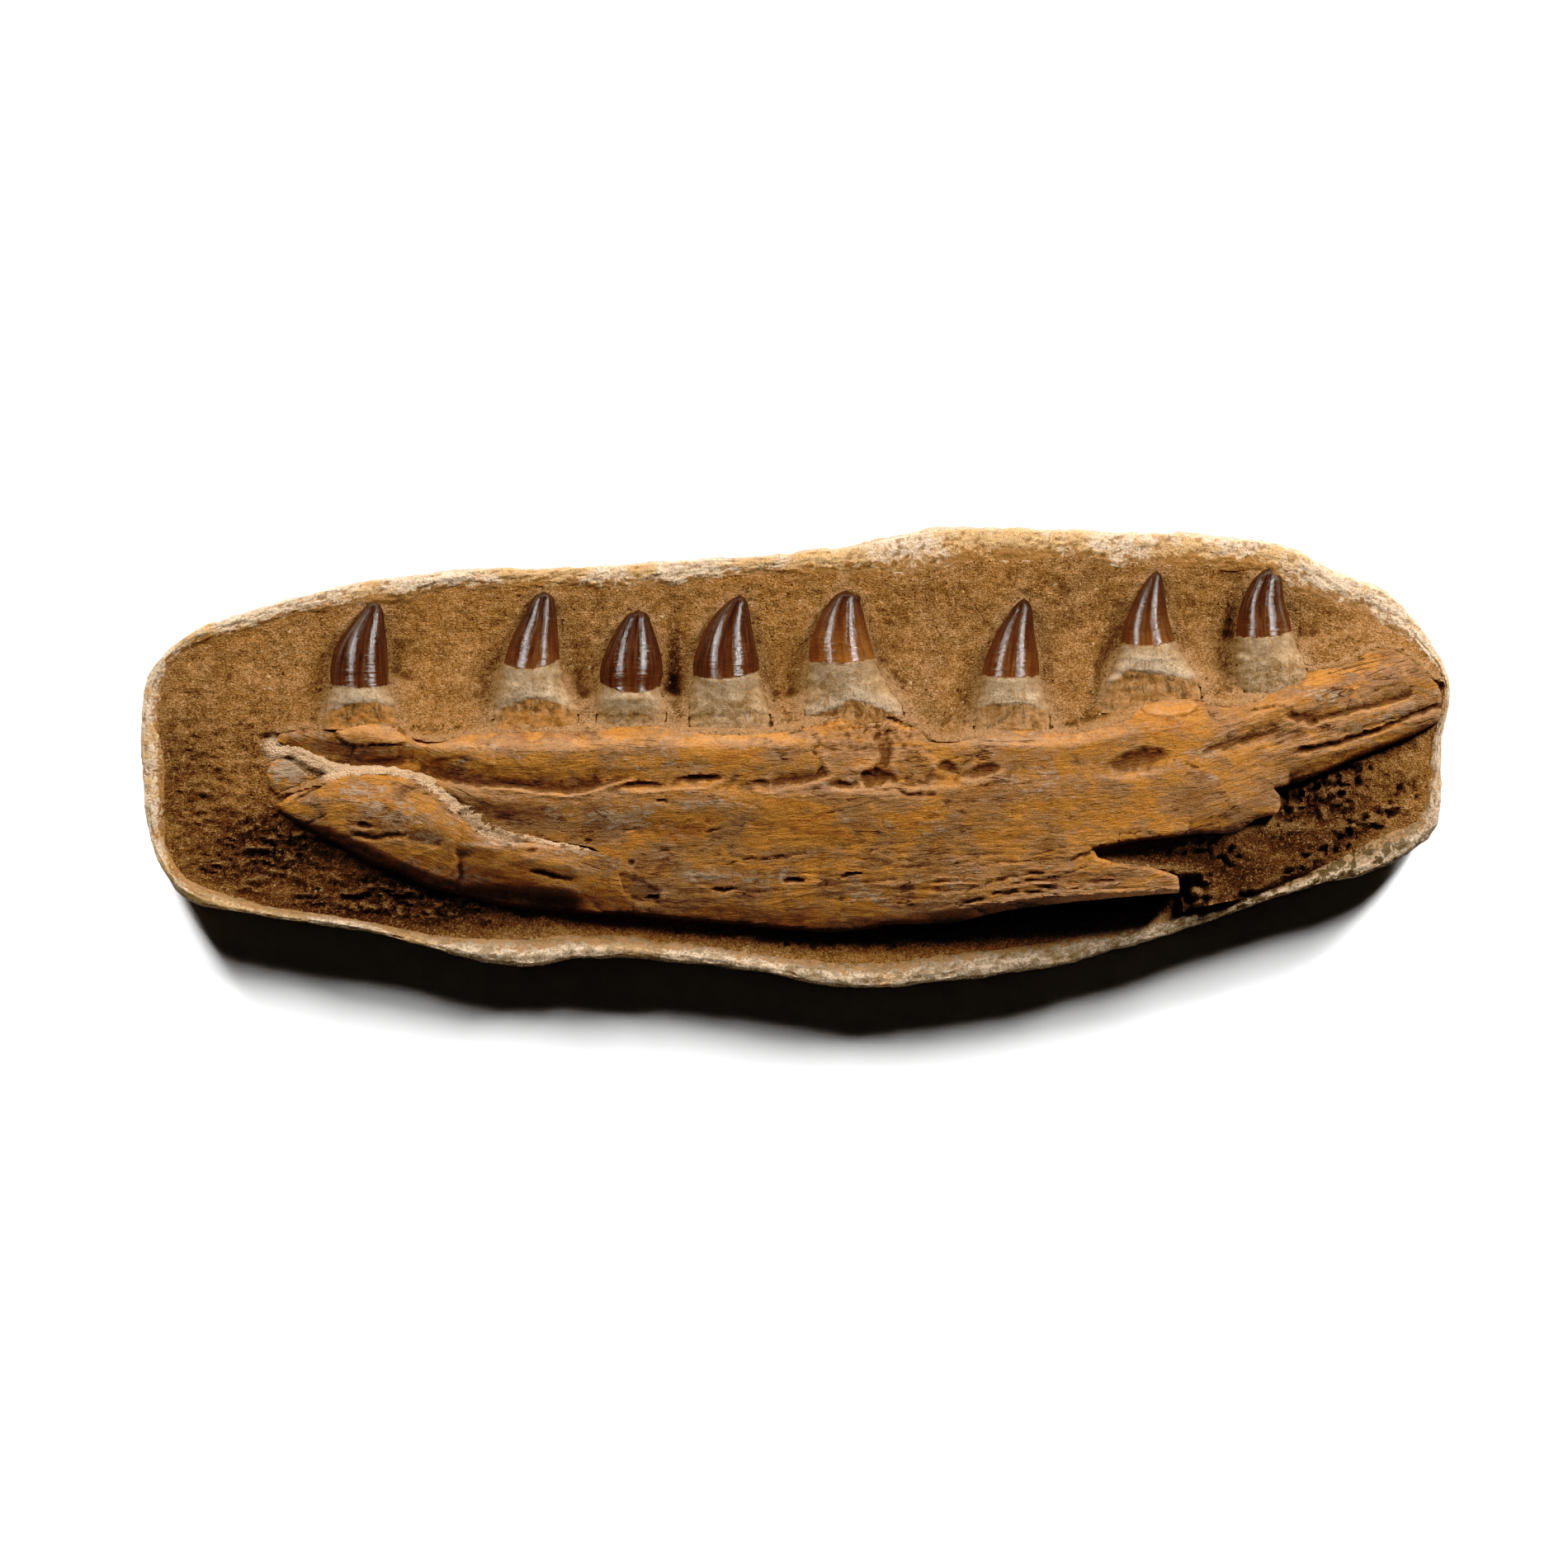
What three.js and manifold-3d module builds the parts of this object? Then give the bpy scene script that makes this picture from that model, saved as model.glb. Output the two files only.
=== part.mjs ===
// A fossil mosasaur jaw in its field jacket: a shallow plaster tray filled with sandy matrix, with
// the tooth-bearing dentary, the splenial, a chip of bone and eight teeth standing out of the matrix.
// Millimetres, +Z up. The jacket lies flat: the teeth point along +Y and the jaw runs along X.
// The origin is on the resting face, at the middle of the jacket's outline.
import * as THREE from "three";
import { mergeVertices } from "three/addons/utils/BufferGeometryUtils.js";
import Module from "manifold-3d";

const wasm = await Module();
wasm.setup();

// Driving dimensions
const JACKET_LENGTH = 668.22;
const JACKET_FLOOR = 12;
const WIDEST_AT = 19;
const RIM_MIDDLE = 43;
const RIM_TILT = 0.009;
const BONE_BOTTOM = 30;
const TOOTH_AXIS = 45.5;
const TOOTH_DEPTH_SHARE = 0.82;
const TOOTH_HALF_DEPTH_MOST = 14;
const JOINT_GAP = 0.35;
const TOP_OF_CUTS = 120;
const BONE_STEP = 12;
const MATRIX_CELL = [13, 16];

// Outlines are traced on the photograph, in its pixels, and run clockwise there.
const JACKET_OUTLINE = [
  [170, 905], [169, 868], [171, 840], [176, 820], [187, 803], [201, 787], [224, 770], [252, 754],
  [300, 740], [350, 725], [400, 712], [450, 701], [500, 695], [550, 690], [600, 687], [650, 688],
  [700, 686], [750, 683], [800, 679], [850, 676], [900, 674], [950, 671], [975, 666], [995, 663],
  [1012, 664], [1033, 661], [1060, 653], [1100, 644], [1122, 639], [1150, 637], [1200, 637],
  [1250, 639], [1300, 641], [1350, 644], [1400, 643], [1430, 643], [1470, 648], [1520, 652],
  [1550, 657], [1574, 665], [1600, 680], [1624, 692], [1650, 702], [1681, 714], [1700, 730],
  [1724, 760], [1738, 782], [1750, 800], [1758, 820], [1760, 838], [1757, 857], [1751, 878],
  [1748, 900], [1749, 950], [1748, 980], [1744, 1000], [1733, 1017], [1707, 1035], [1685, 1048],
  [1650, 1062], [1600, 1073], [1550, 1088], [1500, 1104], [1450, 1123], [1400, 1140], [1350, 1152],
  [1300, 1168], [1250, 1177], [1200, 1184], [1127, 1192], [1087, 1197], [1050, 1198], [1010, 1196],
  [980, 1192], [940, 1182], [900, 1175], [850, 1170], [800, 1164], [760, 1161], [713, 1162],
  [690, 1164], [665, 1170], [640, 1172], [612, 1170], [580, 1165], [550, 1158], [507, 1146],
  [480, 1139], [450, 1131], [400, 1122], [350, 1117], [300, 1109], [270, 1104], [245, 1099],
  [228, 1091], [212, 1078], [200, 1061], [188, 1041], [180, 1017], [173, 975], [170, 940],
];
const MATRIX_OUTLINE = [
  [195, 985], [196, 940], [193, 905], [187, 870], [189, 838], [200, 804], [226, 781], [250, 775],
  [268, 767], [300, 759], [325, 751], [350, 741], [375, 735], [402, 734], [430, 731], [462, 728],
  [498, 725], [522, 716], [560, 710], [601, 706], [650, 707], [700, 708], [770, 708], [808, 706],
  [847, 700], [880, 695], [905, 692], [980, 692], [1040, 693], [1095, 693], [1128, 690],
  [1145, 686], [1158, 680], [1200, 679], [1252, 679], [1282, 675], [1305, 672], [1328, 674],
  [1352, 681], [1400, 682], [1428, 686], [1470, 685], [1505, 684], [1527, 689], [1550, 703],
  [1600, 721], [1650, 742], [1670, 755], [1690, 765], [1712, 779], [1728, 795], [1743, 811],
  [1751, 830], [1751, 850], [1747, 872], [1742, 890], [1740, 910], [1739, 930], [1734, 950],
  [1732, 980], [1722, 998], [1700, 1009], [1666, 1022], [1648, 1036], [1600, 1058], [1550, 1078],
  [1500, 1090], [1455, 1099], [1400, 1115], [1364, 1124], [1300, 1138], [1250, 1144], [1190, 1153],
  [1140, 1161], [1108, 1163], [1072, 1169], [1010, 1171], [970, 1168], [921, 1159], [871, 1150],
  [830, 1146], [800, 1146], [772, 1138], [737, 1136], [713, 1137], [689, 1134], [650, 1138],
  [590, 1140], [545, 1141], [507, 1135], [450, 1124], [400, 1115], [350, 1109], [320, 1104],
  [293, 1095], [250, 1081], [222, 1070], [208, 1054], [195, 1028],
];
const DENTARY_OUTLINE = [
  [333, 896], [340, 889], [352, 884], [372, 880], [396, 878], [416, 875], [442, 872], [470, 873],
  [486, 878], [498, 888], [508, 898], [518, 901], [532, 898], [548, 892], [566, 888], [592, 885],
  [640, 883], [690, 885], [716, 882], [742, 879], [772, 876], [800, 877], [820, 881], [850, 886],
  [880, 888], [920, 887], [950, 884], [975, 879], [1002, 871], [1024, 865], [1052, 862],
  [1078, 865], [1100, 871], [1116, 880], [1130, 896], [1150, 898], [1176, 893], [1200, 887],
  [1222, 880], [1240, 877], [1254, 880], [1268, 885], [1296, 886], [1316, 884], [1340, 878],
  [1364, 871], [1376, 858], [1392, 849], [1412, 845], [1440, 844], [1460, 848], [1482, 854],
  [1504, 852], [1524, 846], [1546, 833], [1566, 820], [1588, 810], [1620, 805], [1640, 797],
  [1654, 788], [1670, 783], [1690, 784], [1708, 793], [1726, 808], [1740, 824], [1746, 840],
  [1747, 856], [1743, 874], [1730, 882], [1714, 890], [1694, 898], [1668, 909], [1642, 919],
  [1620, 929], [1600, 938], [1580, 946], [1560, 951], [1543, 956], [1550, 964], [1551, 976],
  [1547, 986], [1534, 989], [1520, 993], [1510, 1001], [1501, 1008], [1480, 1010], [1454, 1010],
  [1412, 1015], [1378, 1019], [1350, 1024], [1324, 1029], [1330, 1039], [1350, 1045],
  [1386, 1049], [1412, 1056], [1427, 1062], [1429, 1082], [1404, 1083], [1350, 1088],
  [1300, 1093], [1264, 1097], [1220, 1103], [1190, 1110], [1162, 1117], [1140, 1119],
  [1100, 1120], [1071, 1121], [1058, 1125], [1040, 1128], [1010, 1130], [985, 1129], [960, 1127],
  [930, 1124], [900, 1121], [850, 1117], [800, 1112], [767, 1109], [758, 1084], [750, 1059],
  [741, 1038], [715, 1026], [680, 1020], [640, 1014], [606, 1010], [584, 999], [566, 981],
  [546, 962], [524, 947], [500, 937], [470, 931], [436, 931], [410, 928], [396, 924], [372, 914],
  [350, 904],
];
const SPLENIAL_OUTLINE = [
  [335, 977], [348, 966], [368, 955], [392, 948], [408, 941], [424, 938], [446, 937], [470, 937],
  [496, 943], [518, 953], [538, 967], [556, 986], [572, 1005], [592, 1017], [616, 1020],
  [642, 1021], [680, 1027], [710, 1033], [732, 1044], [741, 1062], [749, 1086], [757, 1108],
  [740, 1108], [700, 1106], [660, 1102], [620, 1099], [590, 1094], [565, 1087], [545, 1082],
  [522, 1077], [505, 1069], [490, 1060], [474, 1053], [455, 1049], [440, 1041], [425, 1033],
  [410, 1024], [395, 1018], [384, 1012], [370, 1004], [356, 996], [344, 987],
];
const CHIP_OUTLINE = [
  [322, 938], [328, 925], [338, 918], [350, 921], [362, 930], [374, 940], [386, 943], [374, 949],
  [352, 957], [334, 964], [325, 954],
];

// Each bone's surface is drawn through feature lines that run from left to right: photograph x and
// y, and the height in millimetres. A line's y grows from one line to the next.
const DENTARY_LINES = {
  upperEdge: [
    [333, 878, 46], [400, 870, 47], [450, 864, 50], [500, 884, 49], [540, 884, 51], [650, 879, 53],
    [800, 871, 53], [900, 879, 54], [990, 868, 54], [1060, 854, 53], [1120, 872, 51],
    [1200, 878, 52], [1300, 878, 53], [1400, 840, 51], [1460, 842, 52], [1550, 824, 52],
    [1650, 788, 50], [1700, 780, 48], [1760, 815, 46],
  ],
  crest: [
    [333, 892, 47], [400, 891, 52], [450, 890, 56], [500, 903, 54], [540, 908, 58], [600, 909, 62],
    [700, 909, 64], [800, 906, 64], [900, 906, 65], [980, 904, 64], [1060, 904, 59],
    [1120, 906, 60], [1200, 906, 63], [1300, 905, 65], [1400, 886, 65], [1500, 880, 63],
    [1600, 845, 59], [1700, 822, 54], [1760, 835, 48],
  ],
  groove: [
    [333, 900, 47], [400, 915, 49], [450, 918, 51], [500, 925, 51], [540, 940, 53], [580, 950, 55],
    [650, 955, 56], [700, 955, 56], [750, 950, 58], [800, 950, 58], [850, 948, 59], [920, 955, 61],
    [1000, 948, 61], [1060, 945, 57], [1120, 941, 58], [1180, 938, 60], [1250, 931, 64],
    [1370, 926, 62], [1450, 915, 66], [1560, 886, 60], [1650, 862, 58], [1760, 845, 48],
  ],
  lip: [
    [333, 903, 47], [400, 922, 49], [450, 926, 50], [500, 933, 51], [540, 954, 55], [600, 968, 59],
    [700, 968, 60], [750, 965, 61], [850, 963, 62.5], [920, 967, 63.5], [1000, 962, 64],
    [1060, 962, 63], [1180, 956, 65], [1370, 948, 66.5], [1450, 941, 67], [1560, 906, 62],
    [1650, 882, 56], [1760, 855, 48],
  ],
  middle: [
    [333, 906, 47], [500, 938, 51], [560, 978, 55], [640, 1005, 59], [700, 1012, 61],
    [800, 1015, 63], [900, 1020, 65], [1000, 1025, 66], [1100, 1025, 67], [1200, 1020, 68],
    [1300, 1000, 68], [1400, 980, 68], [1500, 966, 67], [1560, 928, 60], [1650, 901, 54],
    [1760, 865, 47],
  ],
  shoulder: [
    [333, 909, 47], [500, 942, 51], [560, 988, 53], [640, 1018, 57], [740, 1044, 59],
    [800, 1076, 59], [900, 1092, 60], [1000, 1104, 60], [1100, 1104, 61], [1200, 1090, 62],
    [1300, 1080, 59], [1430, 1075, 54], [1440, 1012, 63], [1550, 986, 62], [1562, 942, 56],
    [1650, 911, 51], [1760, 872, 46],
  ],
  lowerEdge: [
    [333, 912, 46], [500, 950, 50], [560, 998, 52], [640, 1026, 55], [740, 1064, 56],
    [800, 1118, 48], [900, 1126, 48], [1000, 1134, 48], [1100, 1126, 50], [1200, 1113, 51],
    [1300, 1098, 51], [1430, 1088, 49], [1440, 1034, 58], [1550, 1006, 58], [1562, 960, 51],
    [1650, 924, 47], [1760, 884, 44],
  ],
};
const SPLENIAL_LINES = {
  upperEdge: [
    [330, 963, 46], [400, 936, 50], [470, 932, 52], [520, 947, 53], [560, 984, 54],
    [600, 1014, 56], [680, 1022, 58], [765, 1042, 58],
  ],
  crest: [
    [330, 974, 47], [400, 966, 54], [470, 972, 57], [520, 988, 57], [560, 1012, 55],
    [600, 1031, 60], [680, 1042, 60], [765, 1064, 60],
  ],
  flank: [
    [330, 982, 46], [400, 1000, 53], [470, 1032, 54], [520, 1056, 52], [560, 1066, 49],
    [600, 1074, 53], [680, 1082, 54], [765, 1092, 55],
  ],
  lowerEdge: [
    [330, 992, 43], [400, 1026, 43], [470, 1062, 42], [520, 1084, 40], [560, 1094, 40],
    [620, 1108, 42], [700, 1114, 43], [765, 1117, 45],
  ],
};
const CHIP_LINES = {
  upperEdge: [[318, 915, 44], [392, 915, 45]],
  crest: [[318, 938, 46], [392, 940, 48]],
  lowerEdge: [[318, 968, 43], [392, 966, 45]],
};
const MATRIX_LINES = {
  upperRim: [
    [180, 800, 42], [300, 752, 43], [500, 716, 43.5], [900, 688, 44], [1150, 676, 45],
    [1400, 676, 45], [1550, 700, 44.5], [1700, 770, 44], [1765, 815, 43],
  ],
  toothRow: [
    [180, 832, 41], [300, 812, 41.5], [500, 792, 41], [900, 772, 41], [1200, 770, 41.5],
    [1400, 745, 41.5], [1550, 752, 42], [1700, 788, 43], [1765, 830, 43],
  ],
  rootRow: [
    [180, 872, 41], [330, 876, 44], [450, 872, 45], [600, 880, 46], [900, 884, 47],
    [1150, 890, 49], [1350, 870, 47], [1500, 845, 47], [1600, 802, 46], [1700, 796, 44],
    [1765, 840, 43],
  ],
  underBone: [
    [180, 950, 40], [320, 942, 43], [400, 930, 46], [520, 950, 48], [700, 1000, 46],
    [900, 1000, 44], [1300, 980, 44], [1550, 900, 44], [1765, 862, 42],
  ],
  belowBone: [
    [180, 1000, 39], [330, 1000, 38], [450, 1065, 35], [560, 1095, 33], [700, 1118, 34],
    [900, 1132, 34], [1100, 1135, 34], [1300, 1110, 34], [1440, 1075, 34], [1550, 1010, 34],
    [1650, 940, 36], [1765, 890, 40],
  ],
  lowerRim: [
    [180, 1044, 39], [300, 1100, 38], [450, 1124, 38], [600, 1142, 38], [900, 1157, 38.5],
    [1100, 1167, 39], [1300, 1142, 39], [1500, 1094, 39], [1600, 1062, 39], [1720, 1007, 40],
    [1765, 985, 41],
  ],
};

// Each tooth is given from its root to its tip, as photograph y and its left and right x there.
const TEETH = [
  {
    rows: [
      [870, 391, 482], [850, 397, 477], [833, 401, 471], [812, 402, 469], [790, 406, 468],
      [770, 416, 466], [750, 432, 463.5], [738, 442, 461], [731, 449, 457],
    ],
    tip: [453, 728],
  },
  {
    rows: [
      [880, 590, 708], [864, 597, 703], [848, 600, 694], [830, 604, 684], [811, 609, 679],
      [793, 615, 677], [772, 622, 675], [750, 634, 673], [733, 642, 671], [722, 650, 667],
    ],
    tip: [659, 716],
  },
  {
    rows: [
      [880, 717, 815], [864, 720, 811], [850, 722, 806], [838, 727, 800], [815, 728, 801.5],
      [795, 733, 799.5], [772, 743, 793], [755, 754, 787], [745, 762, 783],
    ],
    tip: [774, 738.5],
  },
  {
    rows: [
      [884, 829, 944], [866, 832, 936], [845, 836, 927], [824, 840, 921], [800, 842, 918],
      [778, 849, 913], [757, 859, 909], [740, 872, 906], [728, 885, 903],
    ],
    tip: [897, 720],
  },
  {
    rows: [
      [870, 968, 1102], [854, 973, 1093], [838, 977, 1080], [818, 979, 1068], [801, 981, 1061],
      [780, 983, 1054], [762, 989, 1049], [745, 996, 1045], [730, 1006, 1041], [721, 1014, 1039],
    ],
    tip: [1025, 714.5],
  },
  {
    rows: [
      [888, 1174, 1280], [872, 1179, 1276], [852, 1184, 1269], [834, 1188, 1263],
      [819, 1190, 1259], [800, 1195, 1257], [780, 1203, 1254], [760, 1213, 1251],
      [745, 1224, 1249.5], [733, 1232, 1247],
    ],
    tip: [1241, 724.5],
  },
  {
    rows: [
      [850, 1334, 1462], [830, 1340, 1456], [810, 1348, 1444], [793, 1356, 1432],
      [780, 1359, 1425], [762, 1362, 1418], [743, 1369, 1413], [725, 1377, 1410.5],
      [710, 1386, 1408], [698, 1395, 1405.5],
    ],
    tip: [1402, 691],
  },
  {
    rows: [
      [842, 1504, 1566], [826, 1500, 1588], [806, 1498, 1584], [788, 1498, 1574],
      [769, 1499, 1566], [750, 1501.5, 1561], [730, 1506, 1555], [712, 1514.5, 1552.5],
      [698, 1524, 1550],
    ],
    tip: [1539, 687],
  },
];
const TOOTH_SIDES = 10;

// Nerve openings and broken hollows in the dentary: photograph x and y of the middle, half length,
// half width and depth in millimetres, and the turn in degrees.
const BONE_PITS = [
  [665, 952, 24, 3.6, 3, 0],
  [783, 954, 8, 3, 3.5, 0],
  [844, 944, 8, 3.2, 4, 0],
  [979, 943, 12, 3.6, 4.5, 6],
  [1187, 938, 6, 2.6, 4, -6],
  [1378, 924, 9.5, 4.4, 6, 14],
  [1590, 878, 5, 2, 3, 12],
  [1062, 886, 24, 9, 5, 0],
];

// Hollows that were scraped around the crowns: photograph x and y of the middle, and half width,
// half length and depth in millimetres.
const MATRIX_HOLLOWS = [
  [484, 808, 7, 26, 8],
  [694, 815, 8, 30, 8],
  [815, 822, 6, 26, 9],
  [936, 800, 10, 30, 8],
  [962, 830, 9, 20, 7],
  [1080, 800, 12, 26, 6],
  [1175, 830, 8, 24, 7],
  [1268, 800, 9, 26, 6],
  [1340, 790, 9, 32, 8],
  [1432, 790, 7, 20, 6],
  [1488, 765, 7, 28, 8],
  [1578, 770, 8, 20, 6],
];

const MATERIALS = {
  plaster: new THREE.MeshStandardMaterial({ color: 0xe6d2ab, roughness: 0.95, metalness: 0 }),
  matrix: new THREE.MeshStandardMaterial({ color: 0x8a6339, roughness: 1, metalness: 0 }),
  bone: new THREE.MeshStandardMaterial({ color: 0xb9793a, roughness: 0.75, metalness: 0 }),
  tooth: new THREE.MeshStandardMaterial({ color: 0x4a2413, roughness: 0.2, metalness: 0 }),
};

const xs = JACKET_OUTLINE.map(([x]) => x);
const ys = JACKET_OUTLINE.map(([, y]) => y);
const MM_PER_PIXEL = JACKET_LENGTH / (Math.max(...xs) - Math.min(...xs));
const MIDDLE_X = (Math.max(...xs) + Math.min(...xs)) / 2;
const MIDDLE_Y = (Math.max(...ys) + Math.min(...ys)) / 2;

// A point of the photograph as [x, y] in millimetres, and the way back.
const fromPhoto = ([x, y]) => [(x - MIDDLE_X) * MM_PER_PIXEL, (MIDDLE_Y - y) * MM_PER_PIXEL];
const toPhoto = (x, y) => [x / MM_PER_PIXEL + MIDDLE_X, MIDDLE_Y - y / MM_PER_PIXEL];

// A traced outline as a counter-clockwise ring of [x, y] in millimetres.
const ring = (outline) => outline.map(fromPhoto).reverse();

// The ring moved outwards by a distance along its corner normals; a negative distance goes inwards.
function offsetRing(points, distance) {
  return points.map((p, i) => {
    const before = points[(i + points.length - 1) % points.length];
    const after = points[(i + 1) % points.length];
    const run = new THREE.Vector2(after[0] - before[0], after[1] - before[1]).normalize();
    return [p[0] + run.y * distance, p[1] - run.x * distance];
  });
}

// Value and place along one feature line at photograph x.
function onLine(line, x) {
  const last = line.length - 1;
  if (x <= line[0][0]) return [line[0][1], line[0][2]];
  if (x >= line[last][0]) return [line[last][1], line[last][2]];
  const i = line.findIndex((p) => p[0] > x) - 1;
  const t = (x - line[i][0]) / (line[i + 1][0] - line[i][0]);
  return [1, 2].map((k) => THREE.MathUtils.lerp(line[i][k], line[i + 1][k], t));
}

// Height of a lofted surface at a point in millimetres: a monotone cubic across the feature lines.
function loftHeight(lines, x, y) {
  const [px, py] = toPhoto(x, y);
  const knots = Object.values(lines).map((line) => onLine(line, px));
  const last = knots.length - 1;
  if (py <= knots[0][0]) return knots[0][1];
  if (py >= knots[last][0]) return knots[last][1];
  const grade = (i) => (knots[i + 1][1] - knots[i][1]) / (knots[i + 1][0] - knots[i][0]);
  const slope = (i) => {
    if (i === 0) return grade(0);
    if (i === last) return grade(last - 1);
    const product = grade(i - 1) * grade(i);
    return product <= 0 ? 0 : (2 * product) / (grade(i - 1) + grade(i));
  };
  const i = knots.findIndex((k) => k[0] > py) - 1;
  const span = knots[i + 1][0] - knots[i][0];
  const t = (py - knots[i][0]) / span;
  return (
    knots[i][1] * (1 + 2 * t) * (1 - t) ** 2 +
    knots[i + 1][1] * t * t * (3 - 2 * t) +
    slope(i) * span * t * (1 - t) ** 2 -
    slope(i + 1) * span * t * t * (1 - t)
  );
}

// A closed manifold-3d solid from vertices and triangles.
function solidFrom(vertices, triangles) {
  const geometry = new THREE.BufferGeometry();
  geometry.setAttribute("position", new THREE.Float32BufferAttribute(vertices.flat(), 3));
  geometry.setIndex(triangles.flat());
  const merged = mergeVertices(geometry, 1e-4);
  return new wasm.Manifold(
    new wasm.Mesh({
      numProp: 3,
      vertProperties: merged.attributes.position.array,
      triVerts: new Uint32Array(merged.index.array),
    }),
  );
}

// A solid through rings of equal length, lowest first, each a list of [x, y, z]; both ends are capped.
function stackRings(rings) {
  const count = rings[0].length;
  const vertices = rings.flat();
  const triangles = [];
  for (let level = 0; level < rings.length - 1; level += 1) {
    for (let i = 0; i < count; i += 1) {
      const [a, b] = [level * count + i, level * count + ((i + 1) % count)];
      triangles.push([a, b, b + count], [a, b + count, a + count]);
    }
  }
  const flat = (points) => points.map(([x, y]) => new THREE.Vector2(x, y));
  for (const [a, b, c] of THREE.ShapeUtils.triangulateShape(flat(rings[0]), [])) {
    triangles.push([c, b, a]);
  }
  const top = (rings.length - 1) * count;
  for (const [a, b, c] of THREE.ShapeUtils.triangulateShape(flat(rings.at(-1)), [])) {
    triangles.push([top + a, top + b, top + c]);
  }
  return solidFrom(vertices, triangles);
}

// A straight-sided block of a ring between two heights.
const block = (points, low, high) =>
  stackRings([low, high].map((z) => points.map(([x, y]) => [x, y, z])));

// A block from a flat base up to a relief, which is rows of points from low y to high y.
function reliefBlock(rows, base) {
  const across = rows[0].length;
  const top = rows.flat();
  const vertices = [...top, ...top.map(([x, y]) => [x, y, base])];
  const triangles = [];
  const wall = (a, b) => {
    const [c, d] = [b + top.length, a + top.length];
    triangles.push([b, a, d], [b, d, c]);
  };
  for (let j = 0; j < rows.length - 1; j += 1) {
    for (let i = 0; i < across - 1; i += 1) {
      const a = j * across + i;
      const [b, c, d] = [a + 1, a + across + 1, a + across];
      triangles.push([a, b, c], [a, c, d]);
      triangles.push([a, c, b].map((v) => v + top.length), [a, d, c].map((v) => v + top.length));
    }
    wall(j * across + across - 1, (j + 1) * across + across - 1);
    wall((j + 1) * across, j * across);
  }
  for (let i = 0; i < across - 1; i += 1) {
    wall(i, i + 1);
    wall((rows.length - 1) * across + i + 1, (rows.length - 1) * across + i);
  }
  return solidFrom(vertices, triangles);
}

// A relief on a regular grid over a ring's box.
function gridRelief(points, [cellX, cellY], height) {
  const box = new THREE.Box2().setFromPoints(points.map(([x, y]) => new THREE.Vector2(x, y)));
  box.expandByScalar(2);
  const size = box.getSize(new THREE.Vector2());
  const [nx, ny] = [Math.ceil(size.x / cellX), Math.ceil(size.y / cellY)];
  return Array.from({ length: ny + 1 }, (_row, j) =>
    Array.from({ length: nx + 1 }, (_cell, i) => {
      const x = box.min.x + (size.x * i) / nx;
      const y = box.min.y + (size.y * j) / ny;
      return [x, y, height(x, y)];
    }),
  );
}

// A relief whose rows are the feature lines themselves, with one more row between each two.
function lineRelief(lines) {
  const all = Object.values(lines);
  const [start, end] = [all[0][0][0], all[0].at(-1)[0]];
  const columns = Math.ceil(((end - start) * MM_PER_PIXEL) / BONE_STEP);
  const rowAt = (share) =>
    Array.from({ length: columns + 1 }, (_, i) => {
      const px = THREE.MathUtils.lerp(start, end, i / columns);
      const line = Math.min(Math.floor(share), all.length - 2);
      const [above, below] = [onLine(all[line], px)[0], onLine(all[line + 1], px)[0]];
      const [x, y] = fromPhoto([px, THREE.MathUtils.lerp(above, below, share - line)]);
      return [x, y, loftHeight(lines, x, y)];
    });
  const shares = Array.from({ length: 2 * all.length - 1 }, (_, k) => k / 2);
  return shares.map(rowAt).reverse();
}

// The biggest connected body of a solid: a boolean can leave crumbs beside it.
const largest = (solid) => solid.decompose().reduce((a, b) => (a.volume() > b.volume() ? a : b));

// The rim is highest on the side that the teeth point to.
const rimHeight = (y) => RIM_MIDDLE + (y / MM_PER_PIXEL) * RIM_TILT;

// Jacket: a tray with a flat base, walls that swell to their widest low down, and a broad rim.
function jacketSolid() {
  const outline = ring(JACKET_OUTLINE);
  const inner = ring(MATRIX_OUTLINE);
  const shrunk = (shareX, shareY, z) => outline.map(([x, y]) => [x * shareX, y * shareY, z]);
  const rimEdge = outline.map(([x, y]) => {
    const near = inner.reduce((a, b) =>
      Math.hypot(a[0] - x, a[1] - y) < Math.hypot(b[0] - x, b[1] - y) ? a : b,
    );
    return [x, y].map((value, k) => THREE.MathUtils.lerp(value, near[k], 0.4));
  });
  const wall = outline.map((p, i) => p.map((v, k) => THREE.MathUtils.lerp(v, rimEdge[i][k], 0.3)));
  const body = stackRings([
    shrunk(0.93, 0.8, 0),
    shrunk(0.98, 0.94, 5),
    outline.map(([x, y]) => [x, y, WIDEST_AT]),
    wall.map(([x, y]) => [x, y, rimHeight(y) - 8]),
    rimEdge.map(([x, y]) => [x, y, rimHeight(y)]),
  ]);
  const hollowed = body.subtract(block(inner, JACKET_FLOOR, TOP_OF_CUTS));
  return largest(toothRooms.reduce((solid, room) => solid.subtract(room), hollowed));
}

// An oval hollow to be cut out of a bone's surface.
function pitSolid([px, py, halfLength, halfWidth, depth, turn], lines) {
  const [x, y] = fromPhoto([px, py]);
  const shape = new THREE.SphereGeometry(1, 10, 6);
  shape.rotateX(Math.PI / 2);
  shape.scale(halfLength, halfWidth, depth);
  shape.rotateZ(THREE.MathUtils.degToRad(turn));
  shape.translate(x, y, loftHeight(lines, x, y));
  shape.deleteAttribute("normal");
  shape.deleteAttribute("uv");
  const merged = mergeVertices(shape, 1e-4);
  return new wasm.Manifold(
    new wasm.Mesh({
      numProp: 3,
      vertProperties: merged.attributes.position.array,
      triVerts: new Uint32Array(merged.index.array),
    }),
  );
}

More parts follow.
